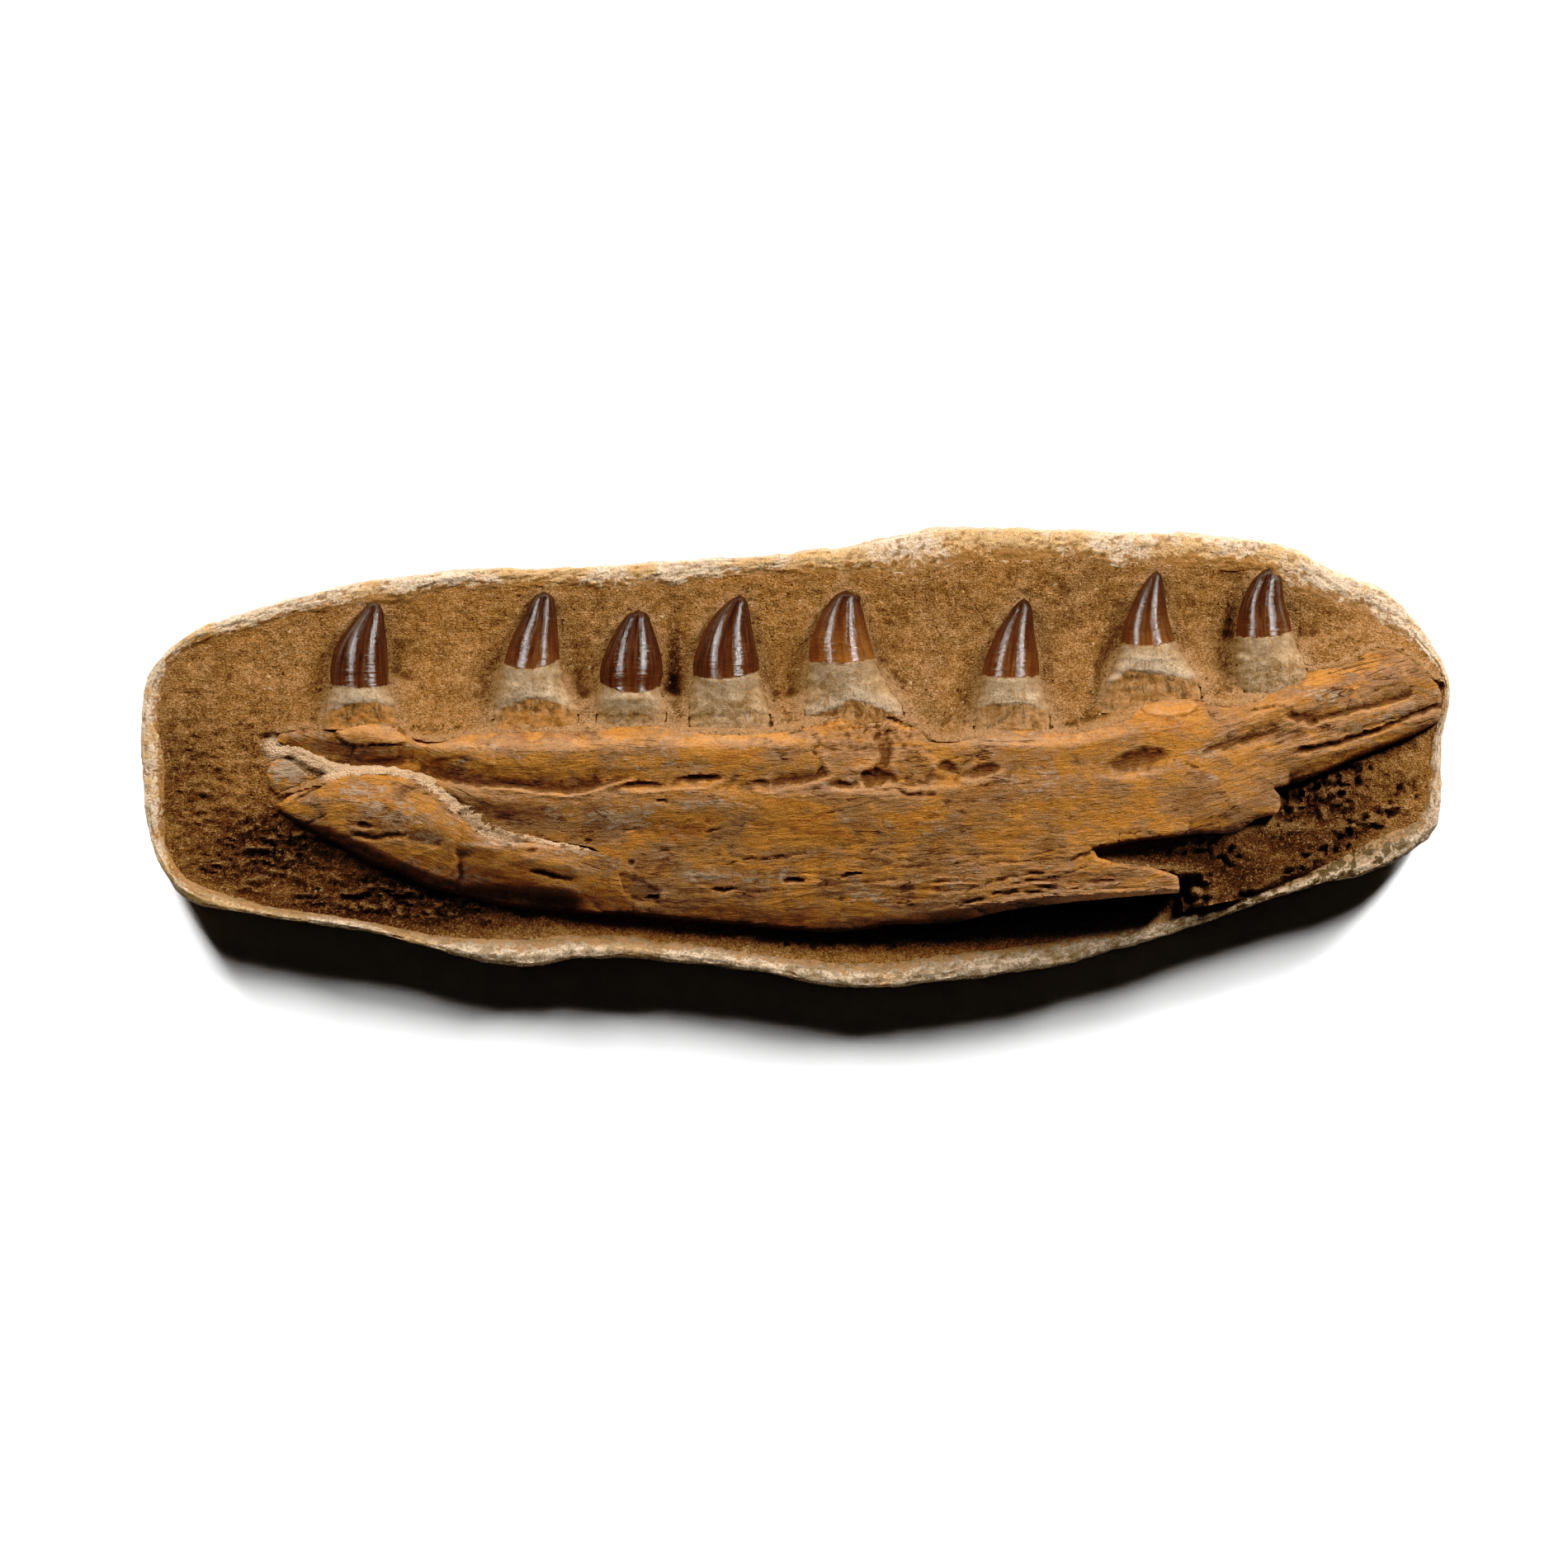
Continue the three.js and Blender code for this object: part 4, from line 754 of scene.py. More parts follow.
def root_form(rows, tip, enamel, y):
    """Middle, half width, half depth and axis height of a tooth, whose root flattens towards its end."""
    middle, half, half_depth = tooth_profile(rows, tip, y)
    half = half + np.clip(y - rows[0][0], 0, ROOT_BURIED) * 0.3
    sunk = smooth(enamel[1], rows[0][0] + ROOT_BURIED, y)
    half_depth = between(half_depth, ROOT_END_DEPTH / PIXEL_MM, sunk)
    return middle, half, half_depth, TOOTH_AXIS + ROOT_RISE * sunk


def blend_up(height, other, soft):
    """The higher of two surfaces, with a soft crease between them."""
    return (height + other + np.hypot(height - other, soft)) / 2


def bank_up(height, top, away, fall, noise, reach=44):
    """Matrix raised against a piece: a thin ragged coat on its edge, then a slope away from it."""
    coat = top - 0.1 + noise - 0.4 * np.clip(-away - 1.5, 0, None)
    slope = coat - fall * np.clip(away, 0, None)
    return between(height, blend_up(height, slope, 0.8), smooth(reach, reach - 14, away))


def hollow_out(height, x, y):
    """The matrix with its soft hollows beside the teeth."""
    hollow = np.zeros_like(x)
    for middle_x, middle_y, half_x, half_y, depth in MATRIX_HOLLOWS:
        spread = oval(x, y, middle_x, middle_y, half_x, half_y)
        hollow = np.maximum(hollow, 0.8 * depth * np.exp(-spread))
    return height - hollow


def bank_teeth(height, x, y, ragged):
    """The matrix raised against the flanks of the roots."""
    for rows, tip, enamel, _amber, _break in TEETH:
        middle, half, _half_depth, axis = root_form(rows, tip, enamel, y)
        away = np.abs(x - middle) - half
        root_end = rows[0][0]
        on_root = smooth(enamel[1] - 6, enamel[1] + 16, y) * smooth(root_end + 30, root_end + 12, y)
        contact = axis + 1.4 + 0.8 * ragged - 0.3 * np.clip(away, 0, None)
        height = between(height, blend_up(height, contact, 1), on_root * smooth(26, 4, away))
    return height


def bank_bones(height, x, y, ragged):
    """The matrix raised against the upper edges of the two bones."""
    above = smooth(2, -8, below_line(x, y, DENTARY_LINES[1]))
    top = bone_form(x, y, DENTARY_LINES, 11) + 0.35
    banked = bank_up(height, top, edge_distance(x, y, DENTARY_OUTLINE), 0.16, ragged)
    height = between(height, banked, above)
    above = smooth(-4, -14, below_line(x, y, SPLENIAL_LINES[1])) * smooth(480, 440, x)
    top = bone_form(x, y, SPLENIAL_LINES, 12)
    banked = bank_up(height, top, edge_distance(x, y, SPLENIAL_OUTLINE), 0.3, ragged)
    return between(height, banked, above)


def fill_seam(height, x, y, ragged):
    """The matrix in the seam, and how much of each place it takes up."""
    away, near_x, _near_y = nearest(x, y, SEAM_PATH)
    table = np.array(SEAM_FILL, float)
    reach = np.interp(near_x, table[:, 0], table[:, 2]) + 2.5 * wander(x, y, 13, 13, 83)
    rise = np.interp(near_x, table[:, 0], table[:, 3])
    bones = np.where(near_x < 560, loft(SPLENIAL_LINES, x, y), loft(DENTARY_LINES, x, y))
    top = bones + rise + 0.6 * ragged + 0.4 * lumps(x, y, 6, 93, 2)
    top = top - 0.004 * np.clip(away, 0, None) ** 2
    share = smooth(reach + 4, reach - 2, away) * smooth(772, 758, x)
    return between(height, np.maximum(height, top), share), share


def broken_ground(x, y):
    """Height of the broken matrix: layered on the left, and clods with gaps on the right."""
    push_x, push_y = unsettled(x, y, 341)
    tilted = push_y - 0.14 * (push_x - 450)
    strata = 2.2 * np.abs(wander(push_x, tilted, 46, 13, 51))
    strata = strata + 1.6 * np.abs(wander(push_x, tilted, 20, 7, 52))
    clods = 3.6 * np.abs(wander(push_x, push_y, 19, 17, 55))
    clods = clods + 2.2 * np.abs(wander(push_x, push_y, 9, 9, 56))
    crowded = smooth(-0.05, 0.3, wander(x, y, 62, 44, 57))
    gaps = 4.5 * crowded * smooth(0.16, 0.42, wander(push_x, push_y, 10, 9, 58))
    return between(clods - gaps, strata + 0.8 * clods, smooth(720, 560, x)) - 1.2


def fill_notch(height, x, y, broken):
    """The bank of matrix between the two splinters at the dentary's right end."""
    past_splinter = smooth(1420, 1472, x + 16 * wander(x, y, 15, 13, 85))
    past_splinter = np.maximum(past_splinter, smooth(1075, 1055, y))
    notch = smooth(1295, 1325, x) * smooth(985, 1005, y) * past_splinter
    top = np.interp(x, [1300, 1340, 1500, 1560], [55, 57, 57, 54])
    away = edge_distance(x, y, DENTARY_OUTLINE)
    banked = bank_up(height, top, away, 0.17, np.minimum(0.65 * broken, 0.4), 86)
    return between(height, banked, notch)


def make_room(height, x, y, seam):
    """The matrix sunk where the bones and the teeth lie in it."""
    for outline in (DENTARY_OUTLINE, SPLENIAL_OUTLINE, CHIP_OUTLINE):
        under = smooth(-7, -10, edge_distance(x, y, outline)) * (1 - seam)
        height = between(height, BONE_BOTTOM - 1, under)
    for rows, tip, enamel, _amber, _break in TEETH:
        middle, half, half_depth, axis = root_form(rows, tip, enamel, y)
        reach = np.clip(np.abs(x - middle) / np.maximum(half, 0.1), 0, 1)
        low = axis - PIXEL_MM * half_depth * np.sqrt(1 - reach**2) - 0.5
        under = (np.abs(x - middle) < half - 5) & (y < rows[0][0] - 4) & (y > tip[1])
        height = np.where(under, np.minimum(height, low), height)
    return height


def matrix_height(x, y):
    inner = smooth(3, 22, -edge_distance(x, y, MATRIX_OUTLINE))
    height = loft(MATRIX_LINES, x, y) + 0.9 * inner * lumps(x, y, 34, 41)
    ragged = 0.7 * lumps(x, y, 9, 67, 3, 0.6)
    height = bank_teeth(hollow_out(height, x, y), x, y, ragged)
    height = bank_bones(height, x, y, ragged)
    height, seam = fill_seam(height, x, y, ragged)
    rough = patches(x, y, MATRIX_ROUGH_AND_SHADE)
    grain = 0.4 * lumps(x, y, 12, 45, 2) + 0.5 * lumps(x, y, 5.5, 47, 2, 0.8)
    broken = broken_ground(x, y)
    height = height + grain * (0.25 + 0.75 * inner) + inner * rough * (1 - seam) * broken
    height = fill_notch(height, x, y, broken)
    return make_room(height, x, y, seam)


def box_blur(grid, cells):
    """A grid smoothed three times with a square window of this half width."""
    for _ in range(3):
        for axis in (0, 1):
            edges = [(cells + 1, cells) if a == axis else (0, 0) for a in (0, 1)]
            running = np.cumsum(np.pad(grid, edges, mode="edge"), axis=axis)
            size = 2 * cells + 1
            upper = np.take(running, range(size, running.shape[axis]), axis)
            lower = np.take(running, range(running.shape[axis] - size), axis)
            grid = (upper - lower) / size
    return grid


def to_metres(x, y, height):
    """Photograph places and heights as an array of points in metres."""
    points = [(x - MIDDLE_X) * PIXEL, (MIDDLE_Y - y) * PIXEL, height * MM]
    return np.stack(np.broadcast_arrays(*points), axis=-1)


def to_photo(points):
    """Photograph x and y of points in metres."""
    return points[:, 0] / PIXEL + MIDDLE_X, MIDDLE_Y - points[:, 1] / PIXEL


def deselect_all():
    for each in bpy.context.selected_objects:
        each.select_set(False)


def start_grid(name, across, along):
    """A new unit grid with this many cells, and the share of its width and height at each vertex."""
    deselect_all()
    bpy.ops.mesh.primitive_grid_add(x_subdivisions=across, y_subdivisions=along, size=1)
    piece = bpy.context.object
    piece.name = piece.data.name = name
    places = read_points(piece)
    return piece, places[:, 0] + 0.5, places[:, 1] + 0.5


def read_points(piece):
    values = np.empty(len(piece.data.vertices) * 3, np.float32)
    piece.data.vertices.foreach_get("co", values)
    return values.reshape(-1, 3).astype(float)


def write_points(piece, points):
    piece.data.vertices.foreach_set("co", np.asarray(points, np.float32).ravel())
    piece.data.update()


def mark(piece, name, values):
    """Keeps one number, or one vector, for each vertex."""
    kind, field = ("FLOAT_VECTOR", "vector") if np.ndim(values) == 2 else ("FLOAT", "value")
    layer = piece.data.attributes.new(name, kind, "POINT")
    layer.data.foreach_set(field, np.asarray(values, np.float32).ravel())


def select_faces(piece, chosen):
    mesh = piece.data
    mesh.vertices.foreach_set("select", np.zeros(len(mesh.vertices), bool))
    mesh.edges.foreach_set("select", np.zeros(len(mesh.edges), bool))
    mesh.polygons.foreach_set("select", chosen)


def open_edges(mesh):
    """The edges that have one face, as pairs of vertices."""
    used = np.empty(len(mesh.loops), np.int32)
    mesh.loops.foreach_get("edge_index", used)
    ends = np.empty(len(mesh.edges) * 2, np.int32)
    mesh.edges.foreach_get("vertices", ends)
    alone = np.bincount(used, minlength=len(mesh.edges)) == 1
    return alone, ends.reshape(-1, 2)[alone]


def select_open_edges(piece):
    mesh = piece.data
    alone, ends = open_edges(mesh)
    rim = np.zeros(len(mesh.vertices), bool)
    rim[ends.ravel()] = True
    mesh.polygons.foreach_set("select", np.zeros(len(mesh.polygons), bool))
    mesh.edges.foreach_set("select", alone)
    mesh.vertices.foreach_set("select", rim)
    return rim


def finish_shape(piece, smooth_angle=50):
    """Faces outwards and soft shading."""
    bpy.ops.object.mode_set(mode="EDIT")
    bpy.ops.mesh.select_all(action="SELECT")
    bpy.ops.mesh.normals_make_consistent(inside=False)
    bpy.ops.object.mode_set(mode="OBJECT")
    bpy.ops.object.shade_smooth_by_angle(angle=math.radians(smooth_angle))
    deselect_all()


def kept_cells(within):
    """The cells of a grid with all four corners within, without single cells that touch by a corner."""
    cells = within[:-1, :-1] & within[1:, :-1] & within[:-1, 1:] & within[1:, 1:]
    while True:
        padded = np.pad(cells, 1)
        a, b, c, d = padded[:-1, :-1], padded[:-1, 1:], padded[1:, :-1], padded[1:, 1:]
        bow = (a & d & ~b & ~c) | (b & c & ~a & ~d)
        touched = np.zeros_like(cells)
        touched |= bow[:-1, :-1] | bow[1:, :-1] | bow[:-1, 1:] | bow[1:, 1:]
        if not (touched & cells).any():
            return largest_patch(cells)
        cells = cells & ~touched


def largest_patch(cells):
    """The connected patch that holds the cell nearest to the middle of the kept ones."""
    rows, columns = np.nonzero(cells)
    middle = np.argmin((rows - np.median(rows)) ** 2 + (columns - np.median(columns)) ** 2)
    patch = np.zeros_like(cells)
    patch[rows[middle], columns[middle]] = True
    while True:
        grown = patch.copy()
        grown[1:] |= patch[:-1]
        grown[:-1] |= patch[1:]
        grown[:, 1:] |= patch[:, :-1]
        grown[:, :-1] |= patch[:, 1:]
        grown &= cells
        if (grown == patch).all():
            return patch
        patch = grown


def mark_hollows(piece, heights, shape):
    """Marks how far each place lies below its near and its wider surroundings; the bone and the matrix
    paint shade in the recesses and highlights on the ridges from these.
    """
    grid = heights.reshape(shape)
    mark(piece, "cavity", (box_blur(grid, 2) - grid).ravel())
    mark(piece, "hollow", (box_blur(grid, 9) - grid).ravel())


def round_edge(height, x, y, depth_inside, rounding):
    """Height with the slab's edge rounded off; beside the seam the bones' edges hardly are."""
    by_seam = smooth(28, 14, nearest(x, y, SEAM_PATH)[0]) * smooth(1080, 1050, y)
    joined = smooth(24, 12, nearest(x, y, SPLENIAL_JOIN)[0]) * smooth(1108, 1094, y)
    worn = rounding * (1 - np.maximum(0.85 * by_seam, joined))
    left = np.clip(worn - depth_inside * PIXEL_MM, 0, worn)
    return height - (worn - np.sqrt(worn**2 - left**2))


def lay_top(name, outline, cell, height_at, rounding, marks):
    """A fine grid shaped to the slab's top and cut to its outline."""
    xs, ys = zip(*outline)
    columns = math.ceil((max(xs) - min(xs)) / cell) + 2
    rows = math.ceil((max(ys) - min(ys)) / cell) + 2
    piece, share_x, share_y = start_grid(name, columns, rows)
    x = min(xs) - cell + share_x * columns * cell
    y = min(ys) - cell + (1 - share_y) * rows * cell
    inward = -edge_distance(x, y, outline)
    top = height_at(x, y)
    for mark_name, values in marks(x, y).items():
        mark(piece, mark_name, values)
    mark_hollows(piece, top, (rows + 1, columns + 1))
    write_points(piece, to_metres(x, y, round_edge(top, x, y, inward, rounding)))
    keep = kept_cells((inward > 0.35 * cell).reshape(rows + 1, columns + 1))
    select_faces(piece, ~keep.ravel())
    bpy.ops.object.mode_set(mode="EDIT")
    bpy.ops.mesh.select_mode(type="FACE")
    bpy.ops.mesh.delete(type="FACE")
    bpy.ops.mesh.select_mode(type="EDGE")
    bpy.ops.object.mode_set(mode="OBJECT")
    return piece


def fit_rim(piece, outline, edge_height):
    """Moves the open edge on to the outline and leaves it selected."""
    points = read_points(piece)
    rim = select_open_edges(piece)
    rim_x, rim_y = to_photo(points[rim])
    _away, rim_x, rim_y = nearest(rim_x, rim_y, outline, closed=True)
    points[rim] = to_metres(rim_x, rim_y, edge_height(rim_x, rim_y))
    write_points(piece, points)


def drop_walls(piece, outline, edge_height, bottom, levels, rough):
    """Rough walls drawn down from the selected edge, and a flat face that closes them below."""
    top_count = len(piece.data.vertices)
    drop = 0.01
    bpy.ops.object.mode_set(mode="EDIT")
    for _level in range(levels):
        bpy.ops.mesh.extrude_region_move(TRANSFORM_OT_translate={"value": (0, 0, -drop)})
    bpy.ops.mesh.edge_face_add()
    bpy.ops.object.mode_set(mode="OBJECT")
    points = read_points(piece)
    wall = points[top_count:]
    x, y = to_photo(wall)
    start = edge_height(x, y)
    share = np.round((start * MM - wall[:, 2]) / drop) / levels
    height = between(start, bottom, share)
    out_x, out_y = outward(x, y, outline)
    bulge = rough * lumps(x + y, height * 2.4, 9, 71) * smooth(0, 0.3, share)
    bulge = bulge / PIXEL_MM - 0.8 * share
    points[top_count:] = to_metres(x + out_x * bulge, y + out_y * bulge, height)
    write_points(piece, points)


def build_slab(name, outline, cell, height_at, bottom, rounding, marks, levels=8, rough=0.5):
    """A slab with a sculpted top: a grid cut to the outline, with a rounded edge and rough walls.

    cell is in pixels, and marks gives the numbers that the material reads."""
    def edge_height(x, y):
        return round_edge(height_at(x, y), x, y, 0, rounding)

    piece = lay_top(name, outline, cell, height_at, rounding, marks)
    fit_rim(piece, outline, edge_height)
    drop_walls(piece, outline, edge_height, bottom, levels, rough)
    merge_doubles(piece, 0.0000001)
    finish_shape(piece)
    return piece


def outward(x, y, outline):
    """The direction out of an outline at points on it."""
    step = 2.0
    grade_x = edge_distance(x + step, y, outline) - edge_distance(x - step, y, outline)
    grade_y = edge_distance(x, y + step, outline) - edge_distance(x, y - step, outline)
    size = np.maximum(np.hypot(grade_x, grade_y), 1e-6)
    return grade_x / size, grade_y / size


def bone_marks(grain, pale, orange, dark):
    """The stains of a bone and its patches of painted shade, and its places along and across the fibres,
    in metres.
    """

    def make(x, y):
        along, across = grain(x, y)
        return {
            "grain": np.stack([along * PIXEL, across * PIXEL, np.zeros_like(along)], axis=-1),
            "pale": patches(x, y, pale),
            "orange": patches(x, y, orange),
            "dark": patches(x, y, dark),
            "plain": patches(x, y, BONE_SMOOTH),
        }
    return make


def matrix_marks(x, y):
    """Where the matrix is broken (darker, partly as painted shade), fills the seam, meets the plaster, is
    scraped, and gets painted shade beside the teeth.
    """
    near_teeth = np.zeros_like(x)
    for rows, tip, _enamel, _amber, _break in TEETH:
        middle, half, _depth = tooth_profile(rows, tip, y)
        beside = smooth(half + 22, half + 2, np.abs(x - middle))
        reach = smooth(tip[1] - 16, tip[1] + 4, y) * smooth(rows[0][0] + 16, rows[0][0] - 10, y)
        near_teeth = np.maximum(near_teeth, beside * reach)
    return {
        "rough": patches(x, y, MATRIX_ROUGH_AND_SHADE),
        "seam": smooth(20, 6, nearest(x, y, SEAM_PATH)[0]) * smooth(735, 690, x),
        "rim": smooth(15, 0, -edge_distance(x, y, MATRIX_OUTLINE)),
        "scraped": near_teeth,
        "shaded": patches(x, y, MATRIX_PAINTED_SHADE),
    }


def enamel_edge(enamel, side, angle, seed):
    """Photograph y of the enamel's wavy lower edge round the tooth."""
    left, low, right = enamel
    edge = between(right, left, (1 - side) / 2)
    edge = edge + (1 - side**2) * (low - (left + right) / 2)
    edge = edge + 1.5 * gradient_noise(angle * 3.5, angle * 0, seed)
    return edge + 0.8 * gradient_noise(angle * 9, angle * 0, seed + 1)


def crown_relief(side, angle, y, height_share, seed):
    """The enamel's flutes, growth rings and two keels."""
    drift = 0.5 * gradient_noise(angle * 1.5, y / 40, seed + 2)
    flutes = 0.035 * np.cos(26 * (angle + 0.05 * drift))
    flutes = flutes + 0.16 * gradient_noise(angle * 4, y / 70, seed + 3)
    flutes = flutes * (1 - height_share) ** 0.6
    rings = 0.05 * gradient_noise(angle * 0.6, y / 6, seed + 4)
    keel = 0.9 * ridge_line(1 - np.abs(side), 0.02) * smooth(0, 0.2, height_share)
    return ENAMEL_THICKNESS + flutes + rings + keel


def root_relief(side, angle, across, y, broken, crevice, seed):
    """The root's lumps, its split fibres below the fracture, and its frayed sides."""
    neck = 0.6 * lumps(angle * 14, y, 20, seed + 6) + 0.3 * gradient_noise(angle * 11, y / 9, seed + 7)
    strands = 0.45 * gradient_noise(angle * 13, y / 22, seed + 8)
    strands = strands + 0.5 * wander(across, y, 4, 6, seed + 10)
    fray = 2.4 * gradient_noise(y / 9, side * 2 + seed, seed + 13) * np.abs(side) ** 3
    return neck + fray + broken * (strands - 0.9) - crevice


def build_tooth(number):
    """A tooth: an oval tube from the root's buried end to the tip, with its enamel standing proud."""
    seed = 200 + 10 * number
    rows, tip, enamel, amber, fracture = TEETH[number - 1]
    split, scarred, orange = ROOT_WEAR[number]
    piece, share_around, share_along = start_grid(f"tooth_{number}_visual", *TOOTH_CELLS)
    angle = 2 * np.pi * share_around - np.pi / 2
    side, front = np.cos(angle), smooth(-0.1, 0.1, np.sin(angle))
    root_y, tip_y = rows[0][0] + ROOT_BURIED, tip[1]
    travel = 1 - (1 - share_along) ** 1.15
    y = root_y + (tip_y - root_y) * travel
    middle, half, half_depth, axis = root_form(rows, tip, enamel, y)
    half_depth = half_depth * np.sqrt(np.clip(y - tip_y, 0, 6) / 6)
    half = half * np.sqrt(np.clip(y - tip_y, 0, 2.5) / 2.5)

    edge = enamel_edge(enamel, side, angle, seed)
    crown = smooth(0.8, -0.8, y - edge)
    height_share = np.clip((edge - y) / (enamel[0] - tip_y), 0, 1)
    across = middle + half * side
    below = below_line(across, y, fracture) + 2.5 * wander(across, y, 7, 7, seed + 9)
    broken = smooth(-1.2, 1.6, below) * front
    gaps = smooth(-0.3, 0.3, wander(across, y, 9, 9, seed + 11))
    crevice = (0.2 + 1.3 * scarred) * gaps * ridge_line(below, 1.8) * front
    root = root_relief(side, angle, across, y, broken, crevice, seed)
    surface = between(root, crown_relief(side, angle, y, height_share, seed), crown)
    surface = surface * smooth(tip_y, tip_y + 5, y)
    x = middle + (half + surface) * side
    height = axis + (half_depth + surface) * PIXEL_MM * np.sin(angle)
    if number in TIP_BREAKS:
        line = np.array(TIP_BREAKS[number], float)
        y = np.maximum(y, np.interp(x, line[:, 0], line[:, 1]))
    write_points(piece, to_metres(x, y, height))

    marks = {
        "crown": crown,
        "amber": amber * (1 - height_share) ** 1.2,
        "broken": broken * split,
        "scar": scarred * smooth(-1, 2, below) * smooth(17, 6, below) * (0.5 + 0.5 * gaps),
        "neck": smooth(30, 12, y - edge) * smooth(0, 4, y - edge),
        "blanched": scarred * smooth(-26, -6, below) * smooth(2, -1, below),
        "flank": np.abs(side) ** 5,
        "tint": orange * smooth(-0.3, 0.5, wander(across, y, 16, 12, seed + 12) + 0.3),
        "grain": np.stack([angle * 0.011, -y * PIXEL, np.zeros_like(y) + seed * 0.37], axis=-1),
    }
    for name, values in marks.items():
        mark(piece, name, values)
    merge_doubles(piece, 0.00002)
    close_holes(piece)
    finish_shape(piece, 60)
    return piece


def merge_doubles(piece, reach):
    bpy.ops.object.mode_set(mode="EDIT")
    bpy.ops.mesh.select_all(action="SELECT")
    bpy.ops.mesh.remove_doubles(threshold=reach)
    bpy.ops.object.mode_set(mode="OBJECT")


def close_holes(piece):
    select_open_edges(piece)
    bpy.ops.object.mode_set(mode="EDIT")
    bpy.ops.mesh.select_mode(type="EDGE")
    bpy.ops.mesh.edge_face_add()
    bpy.ops.mesh.select_all(action="DESELECT")
    bpy.ops.object.mode_set(mode="OBJECT")


def ray_to_outline(start_x, start_y, run_x, run_y, outline):
    """The furthest place where each ray meets an outline."""
    best = np.zeros_like(start_x)
    for (ax, ay), (bx, by) in zip(outline, outline[1:] + outline[:1]):
        ex, ey = bx - ax, by - ay
        cross = run_x * ey - run_y * ex
        cross = np.where(np.abs(cross) < 1e-9, 1e-9, cross)
        reach = ((ax - start_x) * ey - (ay - start_y) * ex) / cross
        share = ((ax - start_x) * run_y - (ay - start_y) * run_x) / cross
        hit = (share >= -1e-6) & (share <= 1 + 1e-6) & (reach > best)
        best = np.where(hit, reach, best)
    return start_x + best * run_x, start_y + best * run_y


def spine_rays(share):
    """Where the rays that go round the slab start, and which way they run."""
    left, right, level = 330.0, 1590.0, 905.0
    straight, turn = right - left, 420.0
    corners = np.cumsum([0, straight, turn, straight, turn])
    travel = share * corners[-1]
    start_x = np.interp(travel, corners, [left, right, right, left, left])
    angle = np.interp(travel, corners, np.pi * np.array([-0.5, -0.5, 0.5, 0.5, 1.5]))
    return start_x, np.full_like(share, level), np.cos(angle), np.sin(angle)


def from_station(step, knots, values):
    """A value that runs evenly from station to station."""
    table = np.stack([np.broadcast_to(value, step.shape) for value in values]).astype(float)
    slot = np.clip(np.searchsorted(knots, step) - 1, 0, len(knots) - 2)
    start, end = np.take(knots, slot), np.take(knots, slot + 1)
    before = np.take_along_axis(table, slot[None], 0)[0]
    after = np.take_along_axis(table, slot[None] + 1, 0)[0]
    return before + (after - before) * ((step - start) / (end - start))


